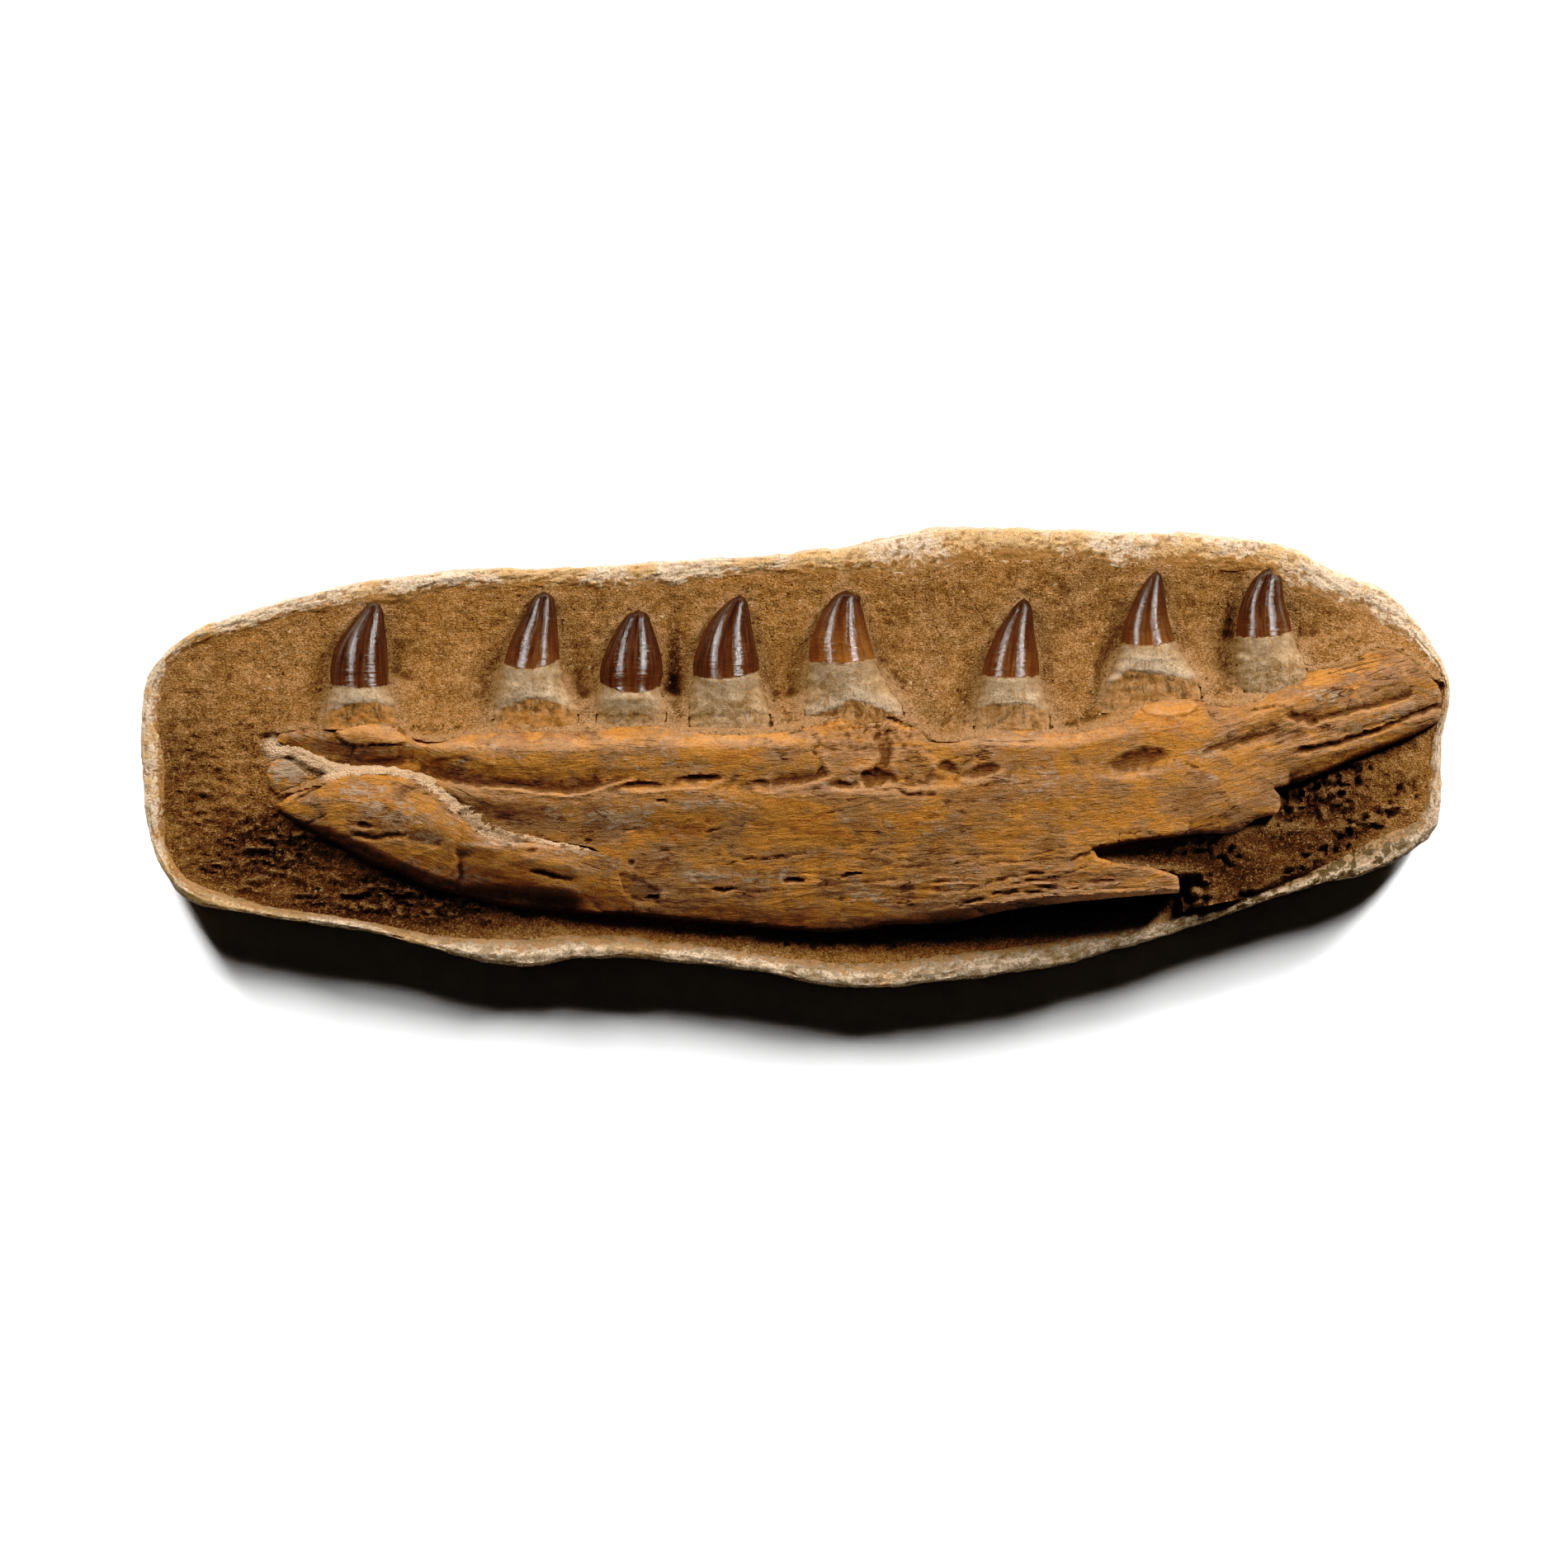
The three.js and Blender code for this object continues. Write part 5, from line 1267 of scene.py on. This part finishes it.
def build_jacket():
    """The plaster tray: a skin that runs from under the matrix over the rim and down to the base."""
    around, across = JACKET_CELLS
    piece, share_around, step = start_grid("plaster_jacket_visual", around, across)
    start_x, start_y, run_x, run_y = spine_rays(share_around)
    inner_x, inner_y = ray_to_outline(start_x, start_y, run_x, run_y, MATRIX_OUTLINE)
    outer_x, outer_y = ray_to_outline(start_x, start_y, run_x, run_y, JACKET_OUTLINE)
    inner_x, inner_y = inner_x - run_x * PLASTER_LAP, inner_y - run_y * PLASTER_LAP
    rim = RIM_MIDDLE + (MIDDLE_Y - outer_y) * RIM_TILT
    bed = loft(MATRIX_LINES, inner_x, inner_y)

    # Stations across the skin: share of the way out, share of the outline's size, and height.
    knots, *columns = zip(
        (0, 0, 1, JACKET_FLOOR), (0.05, 0, 1, bed - 6), (0.09, 0, 1, bed - 0.9), (0.13, 0.14, 1, bed),
        (0.2, 0.36, 1, bed * 0.5 + rim * 0.5), (0.3, 0.68, 1, rim - 0.1), (0.36, 0.91, 1, rim - 0.7),
        (0.42, 0.98, 1, rim - 3.6), (0.6, 1, 1, WIDEST_AT), (0.75, 1, 0.995, 10),
        (0.88, 1, 0.975, 3.4), (0.96, 1, 0.945, 0.4), (1, 1, 0.93, 0))
    out, size, height = (from_station(step, knots, column) for column in columns)
    x = MIDDLE_X + (inner_x + (outer_x - inner_x) * out - MIDDLE_X) * size
    y = MIDDLE_Y + (inner_y + (outer_y - inner_y) * out - MIDDLE_Y) * (1 - (1 - size) * 2.6)

    girth, skirt = share_around * 3360, step * 190
    shown = smooth(0.06, 0.13, step) * smooth(1, 0.93, step)
    knobs = 1.0 * lumps(girth, skirt, 46, 101) + 0.6 * lumps(girth, skirt, 13, 105)
    knobs = knobs + 0.5 * lumps(girth, skirt, 6, 108, 2)
    wraps = smooth(-0.1, 0.1, gradient_noise(girth / 90 + skirt / 60, skirt / 34, 111))
    wraps = 0.7 * wraps * smooth(0.4, 0.55, step)
    rise = (knobs * 0.7 + wraps) * shown
    on_top = smooth(0.46, 0.3, step)
    push = (rise - 0.9 * shown) / PIXEL_MM * (1 - on_top)
    x, y = x + run_x * push, y + run_y * push
    points = to_metres(x, y, height + rise * on_top)
    for axis in range(2):
        points[:, axis] = np.clip(points[:, axis], CAD_LOW[axis], CAD_HIGH[axis])
    points[:, 2] = np.maximum(points[:, 2], 0)
    write_points(piece, points)

    mark_hollows(piece, rise, (across + 1, around + 1))
    mark(piece, "inner", smooth(0.42, 0.12, step))
    mark(piece, "ochre", patches(x, y, PLASTER_OCHRE))
    # Painted shade: darker towards the jacket's lower side and on the rim under the bones' right end.
    in_bones_shadow = smooth(1380, 1480, x) * smooth(960, 1040, y)
    mark(piece, "shade", np.maximum(0.5 * smooth(1040, 1100, y), in_bones_shadow))
    mark(piece, "flank", smooth(0.38, 0.46, step))
    mark(piece, "grain", np.stack([girth * PIXEL, skirt * PIXEL, np.zeros_like(girth)], axis=-1))
    merge_doubles(piece, 0.00001)
    close_holes(piece)
    finish_shape(piece)
    return piece


class Shade:
    """A material's node tree, with short ways to add nodes."""

    def __init__(self, name, tone=(1, 1, 1)):
        self.tone = tone
        self.material = bpy.data.materials.new(name)
        self.material.use_nodes = True
        self.tree = self.material.node_tree
        self.shader = self.tree.nodes["Principled BSDF"]

    def add(self, kind, **settings):
        made = self.tree.nodes.new(kind)
        for key, value in settings.items():
            setattr(made, key, value)
        return made

    def put(self, socket, value):
        if isinstance(value, bpy.types.NodeSocket):
            self.tree.links.new(value, socket)
        else:
            socket.default_value = value

    def mark(self, name, vector=False):
        return self.add("ShaderNodeAttribute", attribute_name=name).outputs["Vector" if vector else "Fac"]

    def place(self, stretch=(1, 1, 1), source=None):
        mapping = self.add("ShaderNodeMapping")
        if source is None:
            source = self.add("ShaderNodeTexCoord").outputs["Object"]
        self.put(mapping.inputs["Vector"], source)
        mapping.inputs["Scale"].default_value = stretch
        return mapping.outputs["Vector"]

    def noise(self, stretch, detail, rough, distortion=0.0, along=None):
        made = self.add("ShaderNodeTexNoise")
        self.put(made.inputs["Vector"], self.place(stretch, along))
        for name, value in (("Scale", 1.0), ("Detail", detail), ("Roughness", rough),
                            ("Distortion", distortion)):
            made.inputs[name].default_value = value
        return made.outputs["Fac"]

    def cells(self, scale, output="Distance"):
        made = self.add("ShaderNodeTexVoronoi")
        self.put(made.inputs["Vector"], self.place())
        made.inputs["Scale"].default_value = scale
        return made.outputs[output]

    def weave(self, where, direction):
        made = self.add("ShaderNodeTexWave", wave_type="BANDS", bands_direction=direction)
        self.put(made.inputs["Vector"], where)
        made.inputs["Scale"].default_value = 160
        made.inputs["Distortion"].default_value = 3.0
        return made.outputs["Fac"]

    def math(self, operation, a, b, clamp=False):
        made = self.add("ShaderNodeMath", operation=operation, use_clamp=clamp)
        self.put(made.inputs[0], a)
        self.put(made.inputs[1], b)
        return made.outputs[0]

    def times(self, a, b, clamp=False):
        return self.math("MULTIPLY", a, b, clamp)

    def total(self, *parts):
        """The sum of values, each given with its weight."""
        whole = None
        for value, weight in parts:
            part = value if weight == 1 else self.times(value, weight)
            whole = part if whole is None else self.math("ADD", whole, part)
        return whole

    def span(self, value, low, high, to_low=0.0, to_high=1.0):
        """0 where the value is low, 1 where it is high, and a smooth step between them."""
        made = self.add("ShaderNodeMapRange", interpolation_type="SMOOTHSTEP")
        for name, each in (("Value", value), ("From Min", low), ("From Max", high),
                           ("To Min", to_low), ("To Max", to_high)):
            self.put(made.inputs[name], each)
        return made.outputs["Result"]

    def paint(self, colour):
        return (*(part * tone for part, tone in zip(colour, self.tone)), 1)

    def ramp(self, value, *stops):
        made = self.add("ShaderNodeValToRGB")
        self.put(made.inputs["Fac"], value)
        colours = made.color_ramp.elements
        while len(colours) < len(stops):
            colours.new(0.5)
        for element, (place, colour) in zip(colours, stops):
            element.position = place
            element.color = self.paint(colour)
        return made.outputs["Color"]

    def mix(self, share, a, b):
        made = self.add("ShaderNodeMix", data_type="RGBA", clamp_factor=True)
        self.put(made.inputs["Factor"], share)
        sockets = [s for s in made.inputs if s.type == "RGBA"]
        for socket, value in zip(sockets, (a, b)):
            self.put(socket, self.paint(value) if isinstance(value, tuple) else value)
        return [s for s in made.outputs if s.type == "RGBA"][0]

    def over(self, base, colour, value, low, high, most):
        """A colour laid over the base, more as the value runs from low to high."""
        return self.mix(self.span(value, low, high, 0, most), base, colour)

    def bump(self, height, depth):
        made = self.add("ShaderNodeBump")
        made.inputs["Strength"].default_value = 1.0
        made.inputs["Distance"].default_value = depth
        self.put(made.inputs["Height"], height)
        return made.outputs["Normal"]

    def finish(self, colour, roughness, normal, specular):
        self.put(self.shader.inputs["Base Color"], colour)
        self.put(self.shader.inputs["Roughness"], roughness)
        self.put(self.shader.inputs["Normal"], normal)
        self.shader.inputs["Specular IOR Level"].default_value = specular
        self.shader.inputs["IOR"].default_value = 1.5
        return self.material


def bone_material():
    """Orange-brown mineralised bone: finely wrinkled, blotched grey, fibrous where it has split; painted
    shade in its creases, hollows and dark patches, painted highlights on its raised edges.
    """
    shade = Shade("fossil_bone", (0.85, 0.775, 0.84))
    grain = shade.mark("grain", vector=True)
    zones = shade.noise((26, 48, 26), 5, 0.6, 0.8)
    blotch = shade.noise((60, 110, 60), 7, 0.68, 0.6)
    mottle = shade.noise((240, 420, 240), 5, 0.68, 0.3)
    wrinkles = shade.noise((150, 620, 100), 5, 0.68, 0.8, grain)
    threads = shade.noise((60, 1300, 100), 3, 0.6, 0.4, grain)
    veins = shade.noise((20, 130, 60), 4, 0.55, 0.9, grain)
    grit = shade.noise((1100, 1300, 1100), 3, 0.65)
    base = shade.ramp(
        zones, (0.36, (0.17, 0.078, 0.024)), (0.45, (0.22, 0.118, 0.045)), (0.52, (0.27, 0.125, 0.03)),
        (0.59, (0.32, 0.14, 0.026)), (0.68, (0.26, 0.095, 0.016)))
    warm = shade.total((blotch, 1), (shade.mark("orange"), 0.17))
    base = shade.over(base, (0.37, 0.165, 0.03), warm, 0.54, 0.66, 0.75)
    ashen = shade.total((blotch, 1), (shade.mark("pale"), -0.1))
    base = shade.over(base, (0.19, 0.115, 0.06), ashen, 0.48, 0.38, 0.5)
    pale = shade.total((mottle, 0.5), (wrinkles, 0.35), (blotch, -0.3), (shade.mark("pale"), 0.14))
    base = shade.over(base, (0.295, 0.232, 0.138), pale, 0.36, 0.42, 0.7)
    worked = shade.span(shade.mark("plain"), 0.0, 1.0, 1.0, 0.25)
    # The wrinkles' darker troughs and lighter crests: partly the bone's grain, partly painted shade and
    # highlight of the wrinkles.
    lines = shade.times(shade.span(wrinkles, 0.46, 0.33, 0, 0.45), worked)
    base = shade.mix(lines, base, (0.1, 0.04, 0.011))
    base = shade.over(base, (0.4, 0.22, 0.085), wrinkles, 0.57, 0.7, 0.3)
    # Dark patches: partly darker bone, partly painted shade in grooves, pits and along lower edges.
    dark = shade.times(shade.mark("dark"), shade.span(mottle, 0.3, 0.6, 1.0, 0.6))
    base = shade.mix(shade.times(dark, 0.65), base, (0.1, 0.045, 0.012))
    # Painted shade in the creases and cracks, and in the wider hollows.
    base = shade.over(base, (0.055, 0.022, 0.006), shade.mark("cavity"), 0.04, 0.45, 0.75)
    base = shade.over(base, (0.1, 0.04, 0.009), shade.mark("hollow"), 0.6, 2.4, 0.5)
    # Painted highlight on the raised edges.
    base = shade.over(base, (0.44, 0.26, 0.11), shade.mark("cavity"), -0.1, -0.5, 0.3)
    off_line = shade.math("ABSOLUTE", shade.math("SUBTRACT", veins, 0.5), 0)
    cracked = shade.times(shade.span(off_line, 0.022, 0.006), shade.span(zones, 0.47, 0.41))
    cracked = shade.times(cracked, worked)
    base = shade.mix(shade.times(cracked, 0.85), base, (0.05, 0.02, 0.006))
    base = shade.over(base, (0.075, 0.03, 0.009), grit, 0.44, 0.33, 0.6)
    base = shade.over(base, (0.42, 0.26, 0.12), grit, 0.58, 0.7, 0.4)
    roughness = shade.span(mottle, 0.35, 0.65, 0.5, 0.7)
    deep = shade.times(wrinkles, shade.span(shade.mark("plain"), 0.0, 1.0, 0.9, 0.45))
    relief = shade.total((deep, 1), (threads, 0.15), (mottle, 0.6), (grit, 0.3), (cracked, -0.35))
    return shade.finish(base, roughness, shade.bump(relief, 0.0018), 0.2)


def matrix_material():
    """Sandy brown matrix: gritty and scraped; darker where it is broken, partly as painted shade, with
    painted shade beside the teeth and in its recesses and painted highlights on its grains.
    """
    shade = Shade("sandy_matrix", (1.03, 0.99, 1.06))
    broad = shade.noise((20, 20, 20), 5, 0.62, 0.3)
    medium = shade.noise((130, 130, 130), 7, 0.76, 0.2)
    fine = shade.noise((1000, 1000, 1000), 4, 0.7)
    scrape = shade.noise((200, 700, 200), 4, 0.66, 0.8)
    sand = shade.cells(1100)
    grains = shade.cells(1100, output="Color")
    base = shade.ramp(
        medium, (0.38, (0.165, 0.074, 0.023)), (0.47, (0.245, 0.117, 0.037)),
        (0.55, (0.295, 0.146, 0.049)), (0.64, (0.38, 0.2, 0.074)))
    base = shade.over(base, (0.33, 0.15, 0.042), broad, 0.42, 0.68, 0.45)
    base = shade.over(base, (0.19, 0.105, 0.045), broad, 0.46, 0.32, 0.35)
    base = shade.mix(shade.times(shade.mark("scraped"), 0.4), base, (0.36, 0.215, 0.105))
    # Darker broken ground: partly its own darker colour, partly painted shade of its slopes and clods.
    base = shade.over(base, (0.07, 0.03, 0.009), shade.mark("rough"), 0.1, 1.1, 0.92)
    # Painted shade in the hollows beside the teeth.
    base = shade.mix(shade.times(shade.mark("shaded"), 0.75), base, (0.085, 0.042, 0.016))
    base = shade.over(base, (0.09, 0.038, 0.012), grains, 0.4, 0.15, 0.55)
    base = shade.over(base, (0.46, 0.28, 0.125), grains, 0.62, 0.9, 0.5)
    base = shade.over(base, (0.46, 0.28, 0.125), fine, 0.56, 0.7, 0.5)
    base = shade.over(base, (0.06, 0.025, 0.008), fine, 0.46, 0.33, 0.85)
    base = shade.mix(shade.times(shade.mark("seam"), 0.85), base, (0.7, 0.49, 0.275))
    # Painted shade in the recesses, then a painted highlight on the raised grains and lumps.
    base = shade.over(base, (0.04, 0.016, 0.005), shade.mark("cavity"), 0.35, 1.5, 0.7)
    base = shade.over(base, (0.36, 0.21, 0.09), shade.mark("cavity"), -0.3, -1.3, 0.35)
    speckle = shade.noise((300, 300, 300), 2, 0.5)
    base = shade.over(base, (0.56, 0.4, 0.2), speckle, 0.71, 0.74, 0.6)
    base = shade.over(base, (0.05, 0.022, 0.008), speckle, 0.31, 0.28, 0.8)
    crumbs = shade.total((shade.mark("rim"), 0.5), (medium, 0.8))
    base = shade.over(base, (0.5, 0.38, 0.22), crumbs, 0.9, 0.95, 0.8)
    relief = shade.total((fine, 0.9), (medium, 1.1), (scrape, 0.6), (sand, -0.5))
    relief = shade.times(relief, shade.span(shade.mark("rough"), 0.0, 1.0, 1.0, 1.5))
    return shade.finish(base, 0.92, shade.bump(relief, 0.0029), 0.12)


def plaster_material():
    """Cream field plaster: chalky, stained ochre, with sand rubbed in along its inner edge, and painted
    shade towards its lower side.
    """
    shade = Shade("plaster", (0.86, 0.77, 0.7))
    grain = shade.mark("grain", vector=True)
    broad = shade.noise((36, 36, 36), 6, 0.66, 0.3)
    medium = shade.noise((190, 190, 190), 7, 0.74, 0.3)
    fine = shade.noise((800, 800, 800), 3, 0.65)
    smear = shade.noise((80, 420, 100), 6, 0.7, 0.8, grain)
    base = shade.ramp(
        medium, (0.32, (0.38, 0.26, 0.14)), (0.42, (0.5, 0.4, 0.27)), (0.5, (0.56, 0.475, 0.36)))
    stain = shade.total((broad, 1), (shade.mark("ochre"), 0.15))
    base = shade.over(base, (0.46, 0.29, 0.11), stain, 0.53, 0.64, 0.75)
    base = shade.over(base, (0.32, 0.185, 0.075), smear, 0.63, 0.68, 0.6)
    dirt = shade.total((medium, 0.8), (broad, 0.3), (shade.mark("inner"), 0.3))
    base = shade.over(base, (0.25, 0.125, 0.042), dirt, 0.77, 0.81, 0.9)
    base = shade.over(base, (0.2, 0.105, 0.04), shade.mark("cavity"), 0.06, 0.4, 0.7)
    base = shade.over(base, (0.24, 0.13, 0.05), fine, 0.55, 0.63, 0.75)
    base = shade.mix(shade.times(shade.mark("flank"), 0.5), base, (0.38, 0.31, 0.22))
    # Painted shade towards the lower side and under the bones' right end; the dark pitted patches there
    # are painted shade as well.
    base = shade.mix(shade.times(shade.mark("shade"), 0.5), base, (0.26, 0.2, 0.125))
    pitted = shade.times(shade.mark("shade"), shade.span(medium, 0.53, 0.47, 0, 0.92))
    base = shade.mix(pitted, base, (0.06, 0.042, 0.02))
    cloth = shade.times(shade.weave(grain, "X"), shade.weave(grain, "Y"))
    cloth = shade.times(cloth, shade.times(shade.mark("flank"), 0.5))
    relief = shade.total((medium, 1.2), (fine, 0.5), (cloth, 1))
    return shade.finish(base, 0.9, shade.bump(relief, 0.0021), 0.1)


def tooth_material():
    """Glossy dark brown enamel on a matt grey-beige root, which is fibrous where it has broken."""
    shade = Shade("tooth_enamel", (0.76, 0.76, 0.76))
    grain = shade.mark("grain", vector=True)
    crown = shade.mark("crown")
    streaks = shade.noise((800, 50, 1), 5, 0.6, 0.4, grain)
    rings = shade.noise((70, 560, 1), 4, 0.6, 0.3, grain)
    cloud = shade.noise((170, 170, 170), 8, 0.74, 0.3)
    specks = shade.noise((900, 900, 900), 3, 0.65)
    enamel = shade.ramp(
        streaks, (0.3, (0.009, 0.0045, 0.003)), (0.5, (0.024, 0.011, 0.006)), (0.7, (0.062, 0.03, 0.016)))
    amber = shade.times(shade.mark("amber"), shade.span(streaks, 0.25, 0.7, 0.7, 1.0), True)
    amber = shade.times(amber, shade.span(cloud, 0.4, 0.56, 0.65, 1.0))
    enamel = shade.mix(amber, enamel, (0.19, 0.068, 0.02))
    enamel = shade.over(enamel, (0.11, 0.055, 0.028), rings, 0.6, 0.75, 0.2)
    root = shade.ramp(
        cloud, (0.38, (0.14, 0.07, 0.025)), (0.45, (0.26, 0.155, 0.07)), (0.52, (0.32, 0.205, 0.102)),
        (0.61, (0.45, 0.32, 0.19)))
    strands = shade.noise((600, 160, 1), 5, 0.7, 0.6, grain)
    root = shade.mix(shade.times(shade.mark("neck"), 0.5), root, (0.21, 0.152, 0.092))
    frayed = shade.times(shade.mark("blanched"), shade.span(strands, 0.36, 0.6, 0.35, 1.0))
    root = shade.mix(frayed, root, (0.5, 0.38, 0.25))
    root = shade.over(root, (0.25, 0.115, 0.032), strands, 0.53, 0.61, 0.75)
    root = shade.over(root, (0.12, 0.064, 0.026), specks, 0.46, 0.34, 0.7)
    fibre = shade.mix(shade.span(strands, 0.4, 0.58), (0.09, 0.034, 0.009), (0.38, 0.2, 0.075))
    orange = shade.mix(shade.span(cloud, 0.42, 0.56), (0.2, 0.075, 0.015), (0.4, 0.17, 0.045))
    fibre = shade.mix(shade.mark("tint"), fibre, orange)
    root = shade.mix(shade.mark("broken"), root, fibre)
    cut = shade.times(shade.mark("scar"), shade.span(strands, 0.4, 0.6, 0.9, 0.4))
    root = shade.mix(cut, root, (0.075, 0.032, 0.01))
    root = shade.mix(shade.times(shade.mark("flank"), 0.75), root, (0.27, 0.145, 0.055))
    colour = shade.mix(crown, root, enamel)
    bare = shade.math("SUBTRACT", 1.0, crown)
    roughness = shade.total((shade.span(rings, 0.35, 0.7, 0.05, 0.17), crown), (bare, 0.8))
    fine = shade.total((streaks, 0.3), (rings, 0.95))
    coarse = shade.total((strands, 1.6), (cloud, 3.6), (specks, 0.8))
    relief = shade.total((fine, crown), (coarse, bare))
    return shade.finish(colour, roughness, shade.bump(relief, 0.0004), 0.35)


# Lights: name, place in metres and power in watts.
SOFT_BOXES = [("left_box", (-1.15, 1.5, 1.25), 95), ("right_box", (1.4, 1.35, 1.18), 135)]
STRIPS = [("left_strip", (-1.31, 0.95, 1.48), 48), ("right_strip", (1.31, 0.95, 1.48), 60)]


def dress(piece, material, node):
    piece.data.materials.clear()
    piece.data.materials.append(material)
    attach(piece, "root")
    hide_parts(node)


def make_camera():
    """Straight above the slab, with a long lens, framed as the photograph is."""
    data = bpy.data.cameras.new("camera")
    camera = bpy.data.objects.new("camera", data)
    bpy.context.collection.objects.link(camera)
    data.sensor_width = 36
    data.lens = 400
    above_teeth = TOOTH_AXIS * MM
    frame_width = PHOTO_SIZE * PIXEL
    away = frame_width * data.lens / data.sensor_width
    middle = PHOTO_SIZE / 2
    camera.location = ((middle - MIDDLE_X) * PIXEL, (MIDDLE_Y - middle) * PIXEL, above_teeth + away)
    bpy.context.scene.camera = camera


def add_box(name, place, size, power, lengthwise):
    """A soft box that faces the slab, with its long side as near as it can be to a direction."""
    data = bpy.data.lights.new(name, "AREA")
    data.shape = "RECTANGLE"
    data.size, data.size_y = size
    data.energy = power
    light = bpy.data.objects.new(name, data)
    light.location = place
    back = Vector(place).normalized()
    up = Vector(lengthwise)
    up = (up - back * up.dot(back)).normalized()
    light.rotation_euler = Matrix((up.cross(back), up, back)).transposed().to_euler()
    bpy.context.collection.objects.link(light)
    return light


def make_lights():
    """Two soft boxes beyond the tooth tips, two strips that only gleam, and very little fill."""
    for name, place, power in SOFT_BOXES:
        box = add_box(name, place, (0.3, 1.4), power, (0, 0, 1))
        box.visible_glossy = False
    for name, place, power in STRIPS:
        strip = add_box(name, place, (0.12, 1.7), power, (0, -0.75, 0.65))
        strip.visible_diffuse = False
    world = bpy.data.worlds.new("room")
    bpy.context.scene.world = world
    world.use_nodes = True
    background = world.node_tree.nodes["Background"]
    background.inputs["Color"].default_value = (1, 1, 1, 1)
    background.inputs["Strength"].default_value = 0.002


def set_film():
    """A plain view whose deepest shadows go a little darker, as in a studio photograph."""
    view = bpy.context.scene.view_settings
    view.view_transform = "Standard"
    view.use_curve_mapping = True
    for place, value in ((0.03, 0.012), (0.1, 0.088)):
        view.curve_mapping.curves[3].points.new(place, value)
    view.curve_mapping.update()


def make_floor():
    deselect_all()
    bpy.ops.mesh.primitive_plane_add(size=8, location=(0, 0, 0))
    floor = bpy.context.object
    floor.name = "floor"
    paper = Shade("paper")
    speck = paper.noise((40, 40, 40), 2, 0.5)
    colour = paper.ramp(speck, (0.3, (0.95, 0.95, 0.95)), (0.7, (0.96, 0.96, 0.96)))
    floor.data.materials.append(paper.finish(colour, 0.9, paper.bump(speck, 0.00001), 0.1))


make_camera()
make_lights()
make_floor()
set_film()

bone = bone_material()
enamel_finish = tooth_material()

dress(build_jacket(), plaster_material(), "plaster_jacket")
dress(
    build_slab("sandy_matrix_visual", MATRIX_OUTLINE, 2.8, matrix_height, JACKET_FLOOR + 0.4, 0.25,
               matrix_marks, levels=5, rough=0.2),
    matrix_material(), "sandy_matrix")
dress(
    build_slab("dentary_bone_visual", DENTARY_OUTLINE, 2.1, dentary_height, BONE_BOTTOM, 2.2,
               bone_marks(dentary_grain, DENTARY_PALE, DENTARY_ORANGE, DENTARY_DARK_AND_SHADE), levels=9),
    bone, "dentary_bone")
dress(
    build_slab("splenial_bone_visual", SPLENIAL_OUTLINE, 1.8, splenial_height, BONE_BOTTOM, 2.2,
               bone_marks(splenial_grain, SPLENIAL_PALE, SPLENIAL_ORANGE, SPLENIAL_DARK_AND_SHADE), levels=9),
    bone, "splenial_bone")
dress(
    build_slab("bone_chip_visual", CHIP_OUTLINE, 1.2, chip_height, BONE_BOTTOM, 1.2,
               bone_marks(chip_grain, CHIP_PALE, CHIP_ORANGE, CHIP_DARK), levels=6, rough=0.3),
    bone, "bone_chip")
for number in range(1, len(TEETH) + 1):
    dress(build_tooth(number), enamel_finish, f"tooth_{number}")
